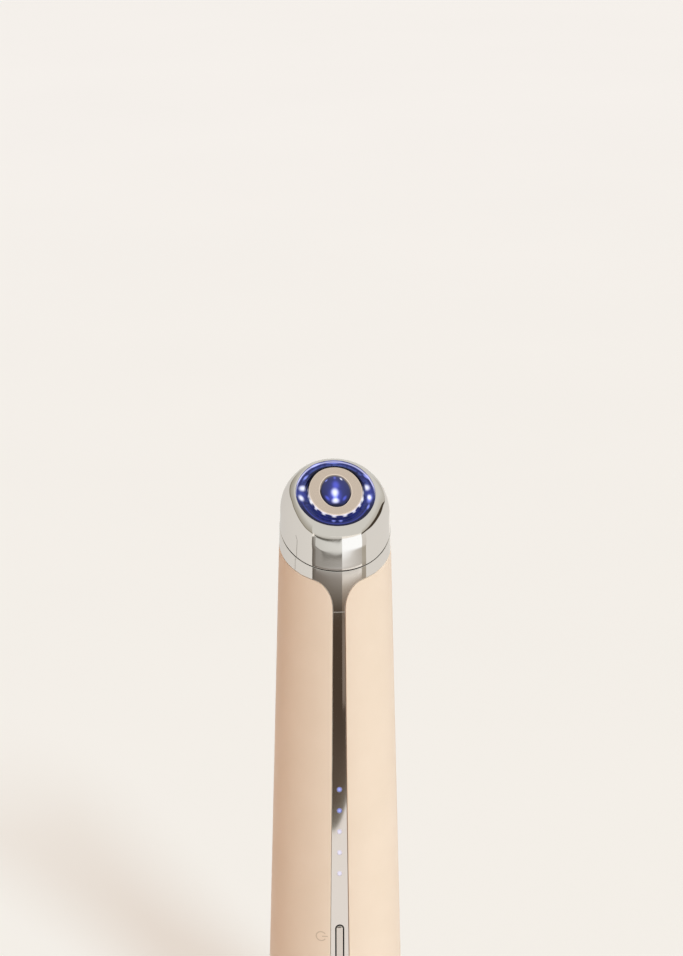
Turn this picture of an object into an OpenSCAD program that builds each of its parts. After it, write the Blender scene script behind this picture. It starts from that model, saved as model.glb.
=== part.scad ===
// RF facial device: a standing wand with a slanted electrode head.
// Millimetres. The wand stands on its foot at z = 0, +Z is up along the
// body, the indicator strip, the button and the slant of the head face -Y.

/* [Body] */
// Height of the head seam above the foot, measured on the body axis
seam_z = 165; // [140:1:190]
// Outer radius of the body at the foot
base_r = 19.4; // [16:0.1:24]
// Outer radius of the body at the head seam
neck_r = 15; // [12:0.1:18]
// Wall of the handle shell
wall = 2.4; // [1.8:0.1:3]
// Joint line left between neighbouring outer pieces
joint_gap = 0.15; // [0.05:0.05:0.3]

/* [Slant] */
// Slant of the head seam and of everything in the head
head_tilt = 28; // [10:1:40]
// Slant of the lower edge of the neck collar
collar_tilt = 23.4; // [10:0.2:40]
// Height of the neck collar on the body axis
collar_h = 4.7; // [3:0.1:8]

/* [Oval] */
// Offset of the small end arcs of every oval in the head
oval_tip = 3; // [1:0.1:5]
// Offset of the large side arcs of every oval in the head
oval_side = 3.76; // [2:0.02:8]

/* [Head shell] */
// Height of the rim of the head above the seam, square to the slant
head_h = 10.05; // [8:0.05:14]
// Shift of the rim towards the back over that height
head_shift = 2.6; // [0:0.1:4]
// Half width of the head at the seam
head_foot_a = 14.85; // [12:0.05:18]
// Half width of the rim around the light ring
rim_a = 11; // [9:0.1:13]
// Lean of the head's wall away from square to the seam, in degrees, so that it stands nearly upright
wall_tilt = 24.5; // [20:0.5:28]
// Slope of the dome where it leaves the rim
dome_start = 25; // [0:1:45]
// Wall of the head shell
head_wall = 1.9; // [1.2:0.1:2.5]

/* [Light ring] */
// Half width of the light ring
ring_a = 10.6; // [9:0.1:12]
// Half width of the hole inside the light ring
ring_hole_a = 7.65; // [6:0.05:9]
// How far the light ring lies below the rim
ring_sink = 0.6; // [0:0.1:2]
// Height of the lit lip around the insulator, above the light ring
ring_lip_h = 0.9; // [0:0.1:1.5]
// Width of that lip
ring_lip_w = 0.35; // [0.2:0.05:1]
// Height of the channel for the ring lights
led_channel_h = 1; // [0.8:0.1:1.5]
// Half width of the middle of that channel
led_row_a = 9.15; // [8:0.05:10]
// Width of that channel
led_channel_w = 1.4; // [1:0.1:2]

/* [Inner electrode] */
// Half width of the inner electrode
electrode_a = 7.2; // [5:0.1:9]
// How far the inner electrode stands above the rim
electrode_rise = 0.75; // [0:0.05:2]
// Thickness of its top
electrode_t = 1.6; // [1:0.1:2.5]
// Thickness of its skirt
skirt_t = 1; // [0.6:0.1:2]
// Edge break around its top
electrode_edge = 0.2; // [0:0.05:0.5]
// Half width of the insulator around it
insulator_a = 7.6; // [6:0.05:9]
// Play between nested oval pieces
nest_gap = 0.05; // [0.02:0.01:0.2]
// Thickness of the insulator's inner flange
insulator_flange = 0.6; // [0.4:0.1:1]
// Half width of the window in that flange
insulator_hole_a = 6; // [4:0.1:7]
// Drop of the insulator's top below the electrode's top
insulator_drop = 0.15; // [0:0.05:0.5]

/* [Centre lens] */
// Half width of the lens
lens_a = 4; // [3:0.1:6]
// Play around the lens
lens_gap = 0.2; // [0.1:0.05:0.4]
// Half width of the flange behind the electrode's top
lens_flange_a = 5; // [4:0.1:6]
// Thickness of that flange
lens_flange_t = 0.9; // [0.5:0.1:1.5]
// Height of the lens dome above the electrode's top
lens_rise = 0.6; // [0:0.05:2]
// Depth of the dome's edge below the electrode's top
lens_sink = 0.35; // [0:0.05:1]
// Half width of the flat tip of the dome
lens_tip_a = 1.2; // [1.1:0.1:2]

/* [Head inside] */
// Height of the carrier plate above the seam
carrier_z = 2.4; // [1:0.1:4]
// Thickness of the carrier plate
carrier_t = 2; // [1:0.1:3]
// Half width of the carrier plate and of the collar's plug
carrier_a = 12.1; // [10:0.05:14]
// Thickness of the light board
led_board_t = 1.2; // [0.8:0.1:2]
// Half width of the light board
led_board_a = 11.9; // [10:0.1:13]
// Length of a ring light along the ring
ring_led_l = 1.2; // [0.8:0.1:2]
// Width of a ring light across the ring
ring_led_w = 1; // [0.6:0.1:1.4]
// Height of a ring light
ring_led_h = 0.7; // [0.4:0.1:0.9]
// Half distance of the two lights of a pair
ring_led_pitch = 1.1; // [0.7:0.1:3]
// Side of the centre light
centre_led_s = 3; // [2:0.1:4]
// Height of the centre light
centre_led_h = 1.2; // [0.6:0.1:1.6]
// Distance of the outer contact pins from the middle
outer_pin_x = 11.15; // [10.5:0.05:12]
// Radius of the outer contact pins
outer_pin_r = 0.4; // [0.3:0.05:0.6]
// Gap between the outer contact pins and the inside of the head shell
pin_gap = 0.05; // [0.02:0.01:0.2]
// Distance of the inner contact pins from the middle
inner_pin_x = 5.6; // [4:0.05:7]
// Radius of the inner contact pins
inner_pin_r = 0.3; // [0.2:0.05:0.5]

/* [Neck] */
// Outer radius of the collar's sleeve inside the shell
sleeve_r = 12.5; // [10:0.1:14]
// Inner radius of the sleeve
sleeve_hole_r = 11.3; // [9:0.1:13]
// Depth of the sleeve below the seam
sleeve_depth = 17.2; // [10:0.1:25]
// Wall of the collar's plug inside the head
plug_wall = 1.5; // [1:0.1:2]
// Depth of the plug's root below the seam
plug_root = 3; // [1:0.1:5]
// Thickness of the web between the sleeve and the head
web_t = 4; // [2:0.1:6]
// Overlap of the sleeve and the tail with the band of the collar
collar_root = 1; // [0.5:0.1:2]
// Height of the neck seal's groove above the seam
seal_z = 0.8; // [0.3:0.1:1.5]
// Height of the neck seal
seal_h = 1; // [0.6:0.1:1.4]
// Depth of the neck seal's groove
seal_groove = 0.5; // [0.3:0.05:0.8]
// Width of the neck seal
seal_w = 0.8; // [0.5:0.05:1]

/* [Head screws] */
// Distance of the two side screws from the middle
head_screw_x = 9.2; // [7:0.1:10]
// Distance of the back screw from the middle
head_screw_y = 11.5; // [9:0.1:12]
// Radius of the screw bosses
boss_r = 2.1; // [1.6:0.1:2.5]
// Radius of the screw shanks
screw_r = 0.8; // [0.5:0.05:1.2]
// Radius of the screw heads
screw_head_r = 1.5; // [1:0.1:2]
// Height of the screw heads
screw_head_h = 1.1; // [0.6:0.1:2]
// Length of the screws below their heads
screw_l = 4.5; // [3:0.1:8]
// Play around the shanks
screw_play = 0.1; // [0.05:0.05:0.3]

/* [Tail and strip] */
// Half width of the tail and of the strip's upper end
tail_w = 1.6; // [1:0.05:3]
// Radius of the curves that run the tail into the collar
tail_fillet = 9; // [5:0.5:15]
// Drop from the seam to the lower end of those curves
tail_curve_drop = 18.3; // [14:0.1:30]
// Length of the straight tail below the curves
tail_straight = 1; // [0.5:0.1:5]
// Thickness of tail and strip
trim_t = 1.1; // [0.8:0.1:1.5]
// Depth of the strip's face below the shell's surface
strip_sink = 0.25; // [0:0.05:0.6]
// Half width of the strip halfway down
strip_mid_w = 1.94; // [1:0.02:4]
// Height of that place
strip_mid_z = 98; // [80:1:120]
// Half width of the strip beside the button
strip_low_w = 2.48; // [2:0.02:4]
// Height of that place
strip_low_z = 50; // [40:1:60]
// Half width of the strip's rounded lower end
strip_end_w = 2.68; // [2:0.02:4]
// Height of the middle of that rounded end
strip_end_z = 28; // [20:1:40]
// Play between the strip and its recess
strip_play = 0.15; // [0.05:0.05:0.3]

/* [Indicators] */
// Number of indicator lights
dot_n = 5; // [1:1:8]
// Height of the top indicator light
dot_top_z = 95.4; // [80:0.1:120]
// Distance from light to light
dot_pitch = 6.06; // [3:0.02:10]
// Radius of the light pins
dot_r = 0.6; // [0.4:0.05:1]
// Play around the light pins
dot_play = 0.1; // [0.05:0.05:0.2]
// Depth of the light pins' faces below the strip's face
dot_sink = 0.05; // [0:0.01:0.2]
// Half width of the bar that joins the light pins
dot_bar_w = 1.6; // [1:0.1:2.5]
// Thickness of that bar
dot_bar_t = 0.8; // [0.5:0.1:1.2]
// Gap between shell and bar
dot_bar_gap = 0.1; // [0.05:0.05:0.3]
// Gap between a light pin and its light
dot_led_gap = 0.15; // [0.05:0.05:0.3]
// Length of the bar beyond the outer light pins
dot_bar_more = 1.5; // [1:0.1:3]

/* [Power button] */
// Half width of the button
button_w = 0.9; // [0.6:0.05:2]
// Half length of the button
button_l = 7.15; // [4:0.05:10]
// Height of the button's middle
button_z = 48.75; // [35:0.05:60]
// Gap around the button
button_gap = 0.35; // [0.25:0.05:0.5]
// Height of the button's face above the strip's face
button_rise = 0.1; // [0:0.05:0.5]
// Overhang of the button's flange behind the strip
flange_over = 0.75; // [0.5:0.05:1.5]
// Thickness of the flange
flange_t = 0.6; // [0.4:0.1:1]
// Travel of the button
button_travel = 0.35; // [0.2:0.05:0.5]
// Gap between the strip and the flange at rest
flange_gap = 0.3; // [0.25:0.05:0.5]
// Gap around the flange
flange_play = 0.35; // [0.25:0.05:0.5]
// Radius of the boss that presses the switch
button_boss_r = 0.8; // [0.5:0.05:1.2]

/* [Switch] */
// Side of the switch body
switch_s = 3.6; // [3:0.1:6]
// Depth of the switch body
switch_d = 1.5; // [1:0.1:3]
// Radius of the switch plunger
plunger_r = 0.7; // [0.5:0.05:1]
// Radius of the hole in the switch body
plunger_hole_r = 1; // [0.8:0.05:1.5]
// Reach of the plunger out of the switch body
plunger_out = 0.5; // [0.4:0.05:1]
// Reach of the plunger into the switch body
plunger_in = 0.5; // [0.3:0.05:0.8]
// Room left behind the plunger when the button is pressed
plunger_room = 0.35; // [0.1:0.05:0.5]

/* [Indicator board] */
// Thickness of the board
front_board_t = 1; // [0.8:0.1:1.6]
// Half width of the board
front_board_w = 5.5; // [4:0.1:7]
// Lower end of the board
front_board_z0 = 38; // [30:1:45]
// Upper end of the board
front_board_z1 = 104; // [98:1:110]
// Side of an indicator light
dot_led_s = 1.6; // [1:0.1:2]
// Height of an indicator light
dot_led_h = 0.8; // [0.4:0.1:1]

/* [Small screws] */
// Height of the lower pair of screws in the indicator board
front_screw_low_z = 43; // [40:1:60]
// Height of the upper pair of screws in the indicator board
front_screw_high_z = 99; // [70:1:101]
// Height of the lower pair of screws in the main board
main_screw_low_z = 30; // [24:1:60]
// Height of the upper pair of screws in the main board
main_screw_high_z = 130; // [100:1:135]
// Distance of the small screws from the middle
small_screw_x = 4.3; // [4:0.1:4.6]
// Radius of their shanks
small_screw_r = 0.5; // [0.3:0.05:0.7]
// Radius of their heads
small_head_r = 1.05; // [0.8:0.05:1.2]
// Height of their heads
small_head_h = 0.5; // [0.3:0.05:0.8]
// Length of their shanks
small_screw_l = 4; // [3:0.1:5]
// Depth of the screw holes beyond the tips
small_hole_more = 0.2; // [0.1:0.1:1]

/* [Chassis] */
// Outer side of the two rails
rail_out = 5.4; // [4:0.1:7]
// Inner side of the two rails
rail_in = 3.2; // [2:0.1:5]
// Front of the upper rail ends, measured from the axis
rail_top_y = 9.5; // [7:0.1:11]
// Height above which the rails are shallower
rail_step_z = 106; // [104:1:120]
// Underside of the lower plate
plate_low_z = 18; // [12:1:25]
// Gap between the battery cell's cap and the middle plate
cell_end_gap = 0.3; // [0.1:0.1:1]
// Thickness of the three plates
plate_t = 2; // [1.5:0.1:3]
// Gap between the plates and the shell
plate_gap = 0.3; // [0.2:0.05:0.6]
// Gap between the upper plate and the sleeve
plate_top_gap = 0.2; // [0.1:0.05:0.5]
// Radius of the hole for the head's wires
wire_hole_r = 4.6; // [3:0.1:6]
// Wall of the two battery cups
cup_wall = 1.2; // [0.8:0.1:2]
// Depth of the battery cups
cup_h = 4; // [2:0.5:8]

/* [Main board] */
// Front face of the board, measured from the axis
main_board_y = 3.2; // [2:0.1:5]
// Thickness of the board
main_board_t = 1.2; // [0.8:0.1:1.6]
// Half width of the board
main_board_w = 10.6; // [8:0.1:12]
// Upper end of the board
main_board_z1 = 138; // [120:1:142]
// Play in the slot of the middle plate
slot_play = 0.3; // [0.1:0.05:0.5]
// Depth of the slot behind the board
slot_back = 2.2; // [1:0.1:3]

/* [Board parts] */
// Side of the controller chip
chip_s = 6; // [4:0.5:8]
// Height of the chips
chip_h = 0.9; // [0.6:0.1:1.5]
// Distance of the controller chip above the inductor
chip_up = 12; // [8:0.5:20]
// Side of the two driver chips
driver_s = 3.6; // [3:0.1:5]
// Distance of the driver chips above the controller chip
driver_up = 16; // [6:0.5:20]
// Distance of the driver chips from the middle
driver_x = 4.5; // [3:0.1:7]
// Length of the capacitors
cap_l = 3.2; // [2:0.1:5]
// Width of the capacitors
cap_w = 1.6; // [1:0.1:3]
// Distance of the row of capacitors above the driver chips
cap_up = 10; // [4:0.5:12]
// Pitch of the capacitors
cap_pitch = 4; // [3:0.1:6]
// Radius of the inductor
inductor_r = 3; // [2:0.1:4]
// Height of the inductor
inductor_h = 2.6; // [1.5:0.1:4]
// Distance of the inductor above the middle plate's underside
inductor_up = 13.7; // [12:0.1:20]
// Half width of the transformer core
core_w = 2.9; // [2:0.1:3]
// Depth of the transformer core
core_d = 5; // [3:0.1:6]
// Length of the transformer core
core_l = 9; // [6:0.5:14]
// Distance of the transformer above the driver chips
core_up = 4; // [0:0.5:10]
// Thickness of the core's arms
core_arm = 1.4; // [1:0.1:2]
// Radius of the transformer's winding
coil_r = 2.2; // [1.5:0.1:2.5]

/* [Battery] */
// Radius of the cell
cell_r = 7; // [5:0.1:8]
// Length of the cell
cell_l = 49.2; // [40:0.1:55]
// Distance of the cell's middle behind the axis
cell_y = 6.4; // [5:0.1:8]
// Radius of the cell's cap
cell_cap_r = 2.6; // [2:0.1:4]
// Height of the cell's cap
cell_cap_h = 0.8; // [0.4:0.1:1.2]
// Play around the cell in its cups
cell_play = 0.2; // [0.1:0.05:0.4]

/* [Wires] */
// Radius of the wires
wire_r = 0.5; // [0.3:0.05:0.8]
// Distance of the wires behind the axis, negative is in front
wire_y = -1.3; // [-2:0.1:0]
// Distance of each wire from the middle
wire_x = 3; // [1.5:0.1:4]
// Lower end of the battery wires below the middle plate's underside
cell_wire_down = 6.3; // [5:0.1:12]
// Upper end of the battery wires above the middle plate's underside
cell_wire_up = 7.7; // [4:0.1:9]
// Lower end of the head's wires below the top of the main board
head_wire_down = 4; // [2:0.5:10]
// Gap between the wires and the edges of their window
wire_gap = 0.9; // [0.3:0.1:1.5]

/* [Base] */
// Clearance of the base cap above the table
foot_h = 0.3; // [0.1:0.1:1]
// Top of the base cap's visible edge
cap_edge_z = 2; // [1:0.1:4]
// Edge break around the base cap
cap_edge = 0.5; // [0.2:0.1:1]
// Top of the cap's plug inside the shell
cap_plug_z = 6; // [4:0.1:10]
// Wall of the cap's plug
cap_plug_t = 1.6; // [1:0.1:3]
// Play between plug and shell
cap_play = 0.15; // [0.05:0.05:0.3]
// Outer radius of the rubber foot ring
pad_r = 16; // [12:0.1:18]
// Inner radius of the rubber foot ring
pad_hole_r = 11; // [8:0.1:14]
// Thickness of the rubber foot ring
pad_t = 0.9; // [0.6:0.1:1.5]
// Radius of the base seal's section
base_seal_r = 0.55; // [0.3:0.05:0.8]
// Height of the base seal
base_seal_z = 4; // [3:0.1:5]
// Distance of the posts from the axis
post_x = 9.6; // [8:0.1:14]
// Radius of the posts above the charge board
post_r = 1.6; // [1:0.1:3]
// Radius of the posts below the charge board
post_foot_r = 2.4; // [1.5:0.1:4]
// Play of the posts in the charge board
post_play = 0.2; // [0.1:0.05:0.4]

/* [Charging socket] */
// Half width of the socket's outside
socket_w = 4.47; // [4:0.01:6]
// Half thickness of the socket's outside
socket_t = 1.63; // [1.4:0.01:3]
// Sheet of the socket
socket_sheet = 0.3; // [0.2:0.05:0.5]
// Depth of the mouth above the base cap's underside
socket_z0 = 0.8; // [0.5:0.1:1.5]
// Height of the charge board's underside
charge_board_z = 7.6; // [6:0.1:10]
// Thickness of the charge board
charge_board_t = 1.2; // [0.8:0.1:2]
// Radius of the charge board
charge_board_r = 12.6; // [10:0.1:14]
// Play of the socket in the base cap
socket_play = 0.18; // [0.1:0.01:0.3]
// Half width of the tongue
tongue_w = 3.35; // [3:0.05:4]
// Half thickness of the tongue
tongue_t = 0.35; // [0.25:0.05:0.5]
// Length of the tongue
tongue_l = 4.5; // [3:0.1:5]
// Thickness of the tongue's root
tongue_root = 0.6; // [0.4:0.1:1]

/* [Hidden] */
$fn = 96;
big = 80;
cut = 1;
oval_h = sqrt(oval_tip * oval_tip + oval_side * oval_side);
oval_more = oval_tip + oval_side - oval_h;
wall_slope = tan(wall_tilt);
foot_b = head_foot_a + oval_more;
rim_front = head_shift - rim_a - oval_more;
rim_back = head_shift + rim_a + oval_more;
side_r = (head_foot_a - rim_a) / (1 - sin(dome_start));
front_r = (foot_b + rim_front - head_h * wall_slope)
    / (cos(wall_tilt) - sin(dome_start) - (cos(dome_start) - sin(wall_tilt)) * wall_slope);
back_r = (foot_b - rim_back + head_h * wall_slope)
    / (cos(wall_tilt) - sin(dome_start) + (cos(dome_start) + sin(wall_tilt)) * wall_slope);
arc_a = rim_a - side_r * sin(dome_start);
arc_z = head_h - side_r * cos(dome_start);
arc_end = 100;
collar_z = seam_z - collar_h;
tail_curve_z = seam_z - tail_curve_drop;
tail_end_z = tail_curve_z - tail_straight;
head_steps = 9;
dome_steps = 5;
arc_steps = 18;
slice = 0.02;
carrier_top = carrier_z + carrier_t;
led_z = carrier_top + led_board_t;
ring_top = head_h - ring_sink;
electrode_top = head_h + electrode_rise;
electrode_under = electrode_top - electrode_t;
lens_edge_z = electrode_top - lens_sink;
insulator_top = electrode_top - insulator_drop;
insulator_seat = led_z + insulator_flange;
plug_shift = wall_slope * (joint_gap + carrier_z) / 2;
seal_shift = wall_slope * (seal_z + seal_h / 2);
carrier_shift = wall_slope * (carrier_z + carrier_t / 2);
board_shift = wall_slope * (carrier_top + led_board_t / 2);
sleeve_z = seam_z - sleeve_depth;
plate_top_z = sleeve_z - plate_top_gap - plate_t;
low_top = plate_low_z + plate_t;
button_frame_r = body_r(button_z);
flange_in = strip_sink + trim_t + flange_gap;
board_front = -(body_r(dot_top_z) - wall - dot_bar_gap - dot_bar_t - dot_led_gap - dot_led_h);
board_back = board_front + front_board_t;
main_front = -main_board_y;
main_back = main_front + main_board_t;
switch_front = board_front - switch_d;
plunger_tip = switch_front - plunger_out;
plunger_hole_d = plunger_in + button_travel + plunger_room;
cap_plug_r = body_r(cap_plug_z) - wall - cap_play;
outer_pin_top = arc_z - pin_gap
    + sqrt(pow(side_r - head_wall, 2) - pow(outer_pin_x + outer_pin_r - arc_a, 2));
dot_face = strip_sink + dot_sink;
pin_end = board_front - dot_led_h - dot_led_gap;
led_side_y = led_row_a + oval_more;
front_screw_zs = [front_screw_low_z, front_screw_high_z];
main_screw_zs = [main_screw_low_z, main_screw_high_z];
plate_mid_z = low_top + cell_l + cell_cap_h + cell_end_gap;
inductor_z = plate_mid_z + inductor_up;
chip_z = inductor_z + chip_up;
driver_z = chip_z + driver_up;
cap_z = driver_z + cap_up;
core_z = driver_z + core_up;
head_wire_z = main_board_z1 - head_wire_down;
cell_wire_z0 = plate_mid_z - cell_wire_down;
cell_wire_z1 = plate_mid_z + cell_wire_up;

// Outer radius of the tapered body at a height.
function body_r(z) = base_r + (neck_r - base_r) * z / seam_z;

// Solid taper between two heights, its side set in by a depth.
module taper(inset, z0, z1) {
    translate([0, 0, z0])
        cylinder(r1 = body_r(z0) - inset, r2 = body_r(z1) - inset, h = z1 - z0);
}

// Layer of the taper between two depths.
module layer(out_inset, in_inset, z0, z1) {
    difference() {
        taper(out_inset, z0, z1);
        taper(in_inset, z0 - cut, z1 + cut);
    }
}

// Everything above a plane that crosses the axis at z and rises to the back.
module above(z, tilt) {
    translate([0, 0, z]) rotate([tilt, 0, 0])
        translate([-big / 2, -big / 2, 0]) cube([big, big, big]);
}

// Everything below such a plane.
module below(z, tilt) {
    translate([0, 0, z]) rotate([tilt, 0, 0])
        translate([-big / 2, -big / 2, -big]) cube([big, big, big]);
}

// Frame of the head: its +Z is square to the slanted seam.
module in_head() {
    translate([0, 0, seam_z]) rotate([head_tilt, 0, 0]) children();
}

// Oval of four tangent arcs with half width a. All ovals are parallel curves.
module oval(a) {
    r = a + oval_side - oval_h;
    meet = oval_tip * (1 + r / oval_h);
    intersection() {
        translate([-oval_side, 0]) circle(r = a + oval_side);
        translate([oval_side, 0]) circle(r = a + oval_side);
        square([2 * (a + cut), 2 * meet], center = true);
    }
    for (s = [-1, 1]) translate([0, s * oval_tip]) circle(r = r);
}

// Upright oval solid in the head's frame, centred on the ring.
module oval_pillar(a, z0, z1, shift = head_shift) {
    translate([0, shift, z0]) linear_extrude(height = z1 - z0) oval(a);
}

// Half width of the head at a height, set in by a depth.
function side_at(z, inset) =
    z < arc_z ? head_foot_a - inset : arc_a + sqrt(pow(side_r - inset, 2) - pow(z - arc_z, 2));

// Where the head's front stands at a height: a straight wall that turns into an arc up to the rim.
function front_at(z, inset) =
    let (r = front_r - inset, arc_y = rim_front + front_r * sin(dome_start),
        mid_z = head_h - front_r * cos(dome_start))
    z < mid_z + r * sin(wall_tilt) ? inset / cos(wall_tilt) - foot_b + wall_slope * z
        : arc_y - sqrt(pow(r, 2) - pow(z - mid_z, 2));

// Where the head's back stands at a height.
function back_at(z, inset) =
    let (r = back_r - inset, arc_y = rim_back - back_r * sin(dome_start),
        mid_z = head_h - back_r * cos(dome_start))
    z < mid_z - r * sin(wall_tilt) ? foot_b - inset / cos(wall_tilt) + wall_slope * z
        : arc_y + sqrt(pow(r, 2) - pow(z - mid_z, 2));

// Domed body of the head, set in by a depth.
module head_form(inset, foot_z) {
    hull() {
        oval_slice(foot_z, inset);
        for (i = [0 : head_steps]) {
            t = dome_start + i * (arc_end - dome_start) / head_steps;
            oval_slice(arc_z + (side_r - inset) * cos(t), inset);
        }
    }
}

module oval_slice(z, inset) {
    a = side_at(z, inset);
    front = front_at(z, inset);
    back = back_at(z, inset);
    translate([0, (front + back) / 2, z - slice]) linear_extrude(height = slice)
        scale([1, (back - front) / 2 / (a + oval_more)]) oval(a, $fn = 40);
}

// Outline of the tail with its two hollow curves, seen from the front.
module tail_outline(grow) {
    c = tail_w + tail_fillet;
    top = tail_curve_z + tail_fillet + cut;
    translate([-tail_w - grow, tail_end_z - grow])
        square([2 * (tail_w + grow), tail_curve_z - tail_end_z + grow + cut]);
    difference() {
        translate([-c, tail_curve_z]) square([2 * c, top - tail_curve_z]);
        for (s = [-1, 1]) translate([s * c, tail_curve_z]) circle(r = tail_fillet - grow);
    }
}

// Outline of the strip, seen from the front, with its rounded lower end.
module strip_outline(grow) {
    g = grow;
    top = tail_end_z - joint_gap + g;
    r = strip_end_w + g;
    polygon(concat(
        [[-strip_low_w - g, strip_low_z], [-strip_mid_w - g, strip_mid_z], [-tail_w - g, top],
            [tail_w + g, top], [strip_mid_w + g, strip_mid_z], [strip_low_w + g, strip_low_z]],
        [for (i = [0 : arc_steps])
            [r * cos(i * 180 / arc_steps), strip_end_z - r * sin(i * 180 / arc_steps)]]));
}

// A flat outline run into the front of the body.
module from_front(depth = big) {
    rotate([90, 0, 0]) linear_extrude(height = depth) children();
}

module pill(w, l) {
    square([2 * w, 2 * (l - w)], center = true);
    for (s = [-1, 1]) translate([0, s * (l - w)]) circle(r = w);
}

module button_pill(grow) {
    translate([0, button_z]) pill(button_w + grow, button_l + grow);
}

module dots(r) {
    for (i = [0 : dot_n - 1]) translate([0, dot_top_z - i * dot_pitch]) circle(r = r);
}

// Places of the head screws, in the head's frame.
module at_head_screws() {
    for (s = [-1, 1]) translate([s * head_screw_x, plug_shift, 0]) children();
    translate([0, plug_shift + head_screw_y, 0]) children();
}

module body_shell() {
    color([0.93, 0.82, 0.72])
    difference() {
        taper(0, cap_edge_z + joint_gap, seam_z + head_h);
        taper(wall, cap_edge_z, seam_z + 2 * head_h);
        above(collar_z - joint_gap, collar_tilt);
        intersection() {
            layer(-cut, strip_sink + trim_t + strip_play, strip_end_z - 2 * strip_end_w,
                seam_z + head_h);
            from_front() union() {
                strip_outline(strip_play);
                tail_outline(strip_play);
            }
        }
        from_front() button_pill(flange_over + flange_play);
        from_front() dots(dot_r + dot_play);
    }
}

module base_cap() {
    color([0.90, 0.79, 0.69])
    difference() {
        union() {
            translate([0, 0, foot_h]) cylinder(r1 = body_r(0) - cap_edge, r2 = body_r(cap_edge),
                h = cap_edge);
            taper(0, foot_h + cap_edge, cap_edge_z);
            translate([0, 0, cap_edge_z]) cylinder(r = cap_plug_r, h = cap_plug_z - cap_edge_z);
        }
        translate([0, 0, cap_edge_z]) cylinder(r = cap_plug_r - cap_plug_t, h = cap_plug_z);
        difference() {
            cylinder(r = pad_r + nest_gap, h = pad_t);
            translate([0, 0, -cut]) cylinder(r = pad_hole_r - nest_gap, h = pad_t + 2 * cut);
        }
        translate([0, 0, base_seal_z - base_seal_r - nest_gap]) difference() {
            cylinder(r = cap_plug_r + cut, h = 2 * (base_seal_r + nest_gap));
            translate([0, 0, -cut])
                cylinder(r = cap_plug_r + cap_play / 2 - 2 * base_seal_r, h = 2 * (base_seal_r + cut));
        }
        linear_extrude(height = cap_edge_z + cut)
            rotate(90) pill(socket_t + socket_play, socket_w + socket_play);
    }
    color([0.90, 0.79, 0.69])
    for (s = [-1, 1]) translate([s * post_x, 0, cap_edge_z]) {
        cylinder(r = post_foot_r, h = charge_board_z - cap_edge_z);
        cylinder(r = post_r, h = plate_low_z - cap_edge_z);
    }
}

module foot_pad() {
    color([0.20, 0.19, 0.18])
    difference() {
        cylinder(r = pad_r, h = pad_t);
        translate([0, 0, -cut]) cylinder(r = pad_hole_r, h = pad_t + 2 * cut);
    }
}

module base_seal() {
    color([0.25, 0.25, 0.25])
    translate([0, 0, base_seal_z]) rotate_extrude()
        translate([cap_plug_r + cap_play / 2 - base_seal_r + nest_gap, 0])
        circle(r = base_seal_r, $fn = 24);
}

module neck_collar() {
    color([0.80, 0.80, 0.80])
    difference() {
        union() {
            // band between the two slanted planes
            difference() {
                taper(0, collar_z - neck_r, seam_z + neck_r);
                above(seam_z, head_tilt);
                below(collar_z, collar_tilt);
            }
            // tail that runs down to the strip
            intersection() {
                layer(0, trim_t + strip_sink, tail_end_z - cut, seam_z);
                from_front() tail_outline(0);
                below(collar_z + collar_root, collar_tilt);
            }
            // sleeve inside the shell
            difference() {
                translate([0, 0, sleeve_z]) cylinder(r = sleeve_r, h = sleeve_depth);
                above(collar_z + collar_root, collar_tilt);
            }
            // plug inside the head shell
            in_head() oval_pillar(carrier_a, -plug_root, carrier_z, plug_shift);
        }
        difference() {
            translate([0, 0, sleeve_z - cut]) cylinder(r = sleeve_hole_r, h = 2 * sleeve_depth);
            above(seam_z - web_t, head_tilt);
        }
        in_head() difference() {
            oval_pillar(carrier_a - plug_wall, -plug_root - 2 * cut, carrier_z + cut, plug_shift);
            at_head_screws() translate([0, 0, -plug_root])
                cylinder(r = boss_r, h = plug_root + carrier_z);
        }
        in_head() at_head_screws() translate([0, 0, carrier_top - screw_l - screw_play])
            cylinder(r = screw_r + screw_play, h = screw_l + cut);
        in_head() difference() {
            oval_pillar(carrier_a + cut, seal_z, seal_z + seal_h, seal_shift);
            oval_pillar(carrier_a - seal_groove, seal_z - cut, seal_z + seal_h + cut, seal_shift);
        }
    }
}

module neck_seal() {
    color([0.25, 0.25, 0.25])
    in_head() difference() {
        oval_pillar(carrier_a - seal_groove + nest_gap + seal_w, seal_z + nest_gap,
            seal_z + seal_h - nest_gap, seal_shift);
        oval_pillar(carrier_a - seal_groove + nest_gap, seal_z - cut, seal_z + seal_h + cut,
            seal_shift);
    }
}

module head_shell() {
    color([0.82, 0.82, 0.81])
    in_head() difference() {
        head_form(0, joint_gap + slice);
        head_form(head_wall, joint_gap - cut);
        oval_pillar(ring_a + 2 * nest_gap, led_z + led_channel_h, head_h + cut);
    }
}

module light_ring() {
    color([0.16, 0.24, 0.85])
    in_head() difference() {
        union() {
            oval_pillar(ring_a, led_z, ring_top);
            oval_pillar(ring_hole_a + ring_lip_w, ring_top, ring_top + ring_lip_h);
        }
        oval_pillar(ring_hole_a, led_z - cut, head_h + ring_lip_h);
        difference() {
            oval_pillar(led_row_a + led_channel_w / 2, led_z - cut, led_z + led_channel_h);
            oval_pillar(led_row_a - led_channel_w / 2, led_z - 2 * cut, led_z + led_channel_h + cut);
        }
    }
}

module ring_insulator() {
    color([0.06, 0.06, 0.07])
    in_head() difference() {
        oval_pillar(insulator_a, led_z, insulator_top);
        oval_pillar(electrode_a + nest_gap, insulator_seat, electrode_top + cut);
        oval_pillar(insulator_hole_a, led_z - cut, insulator_seat + cut);
    }
}

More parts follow.
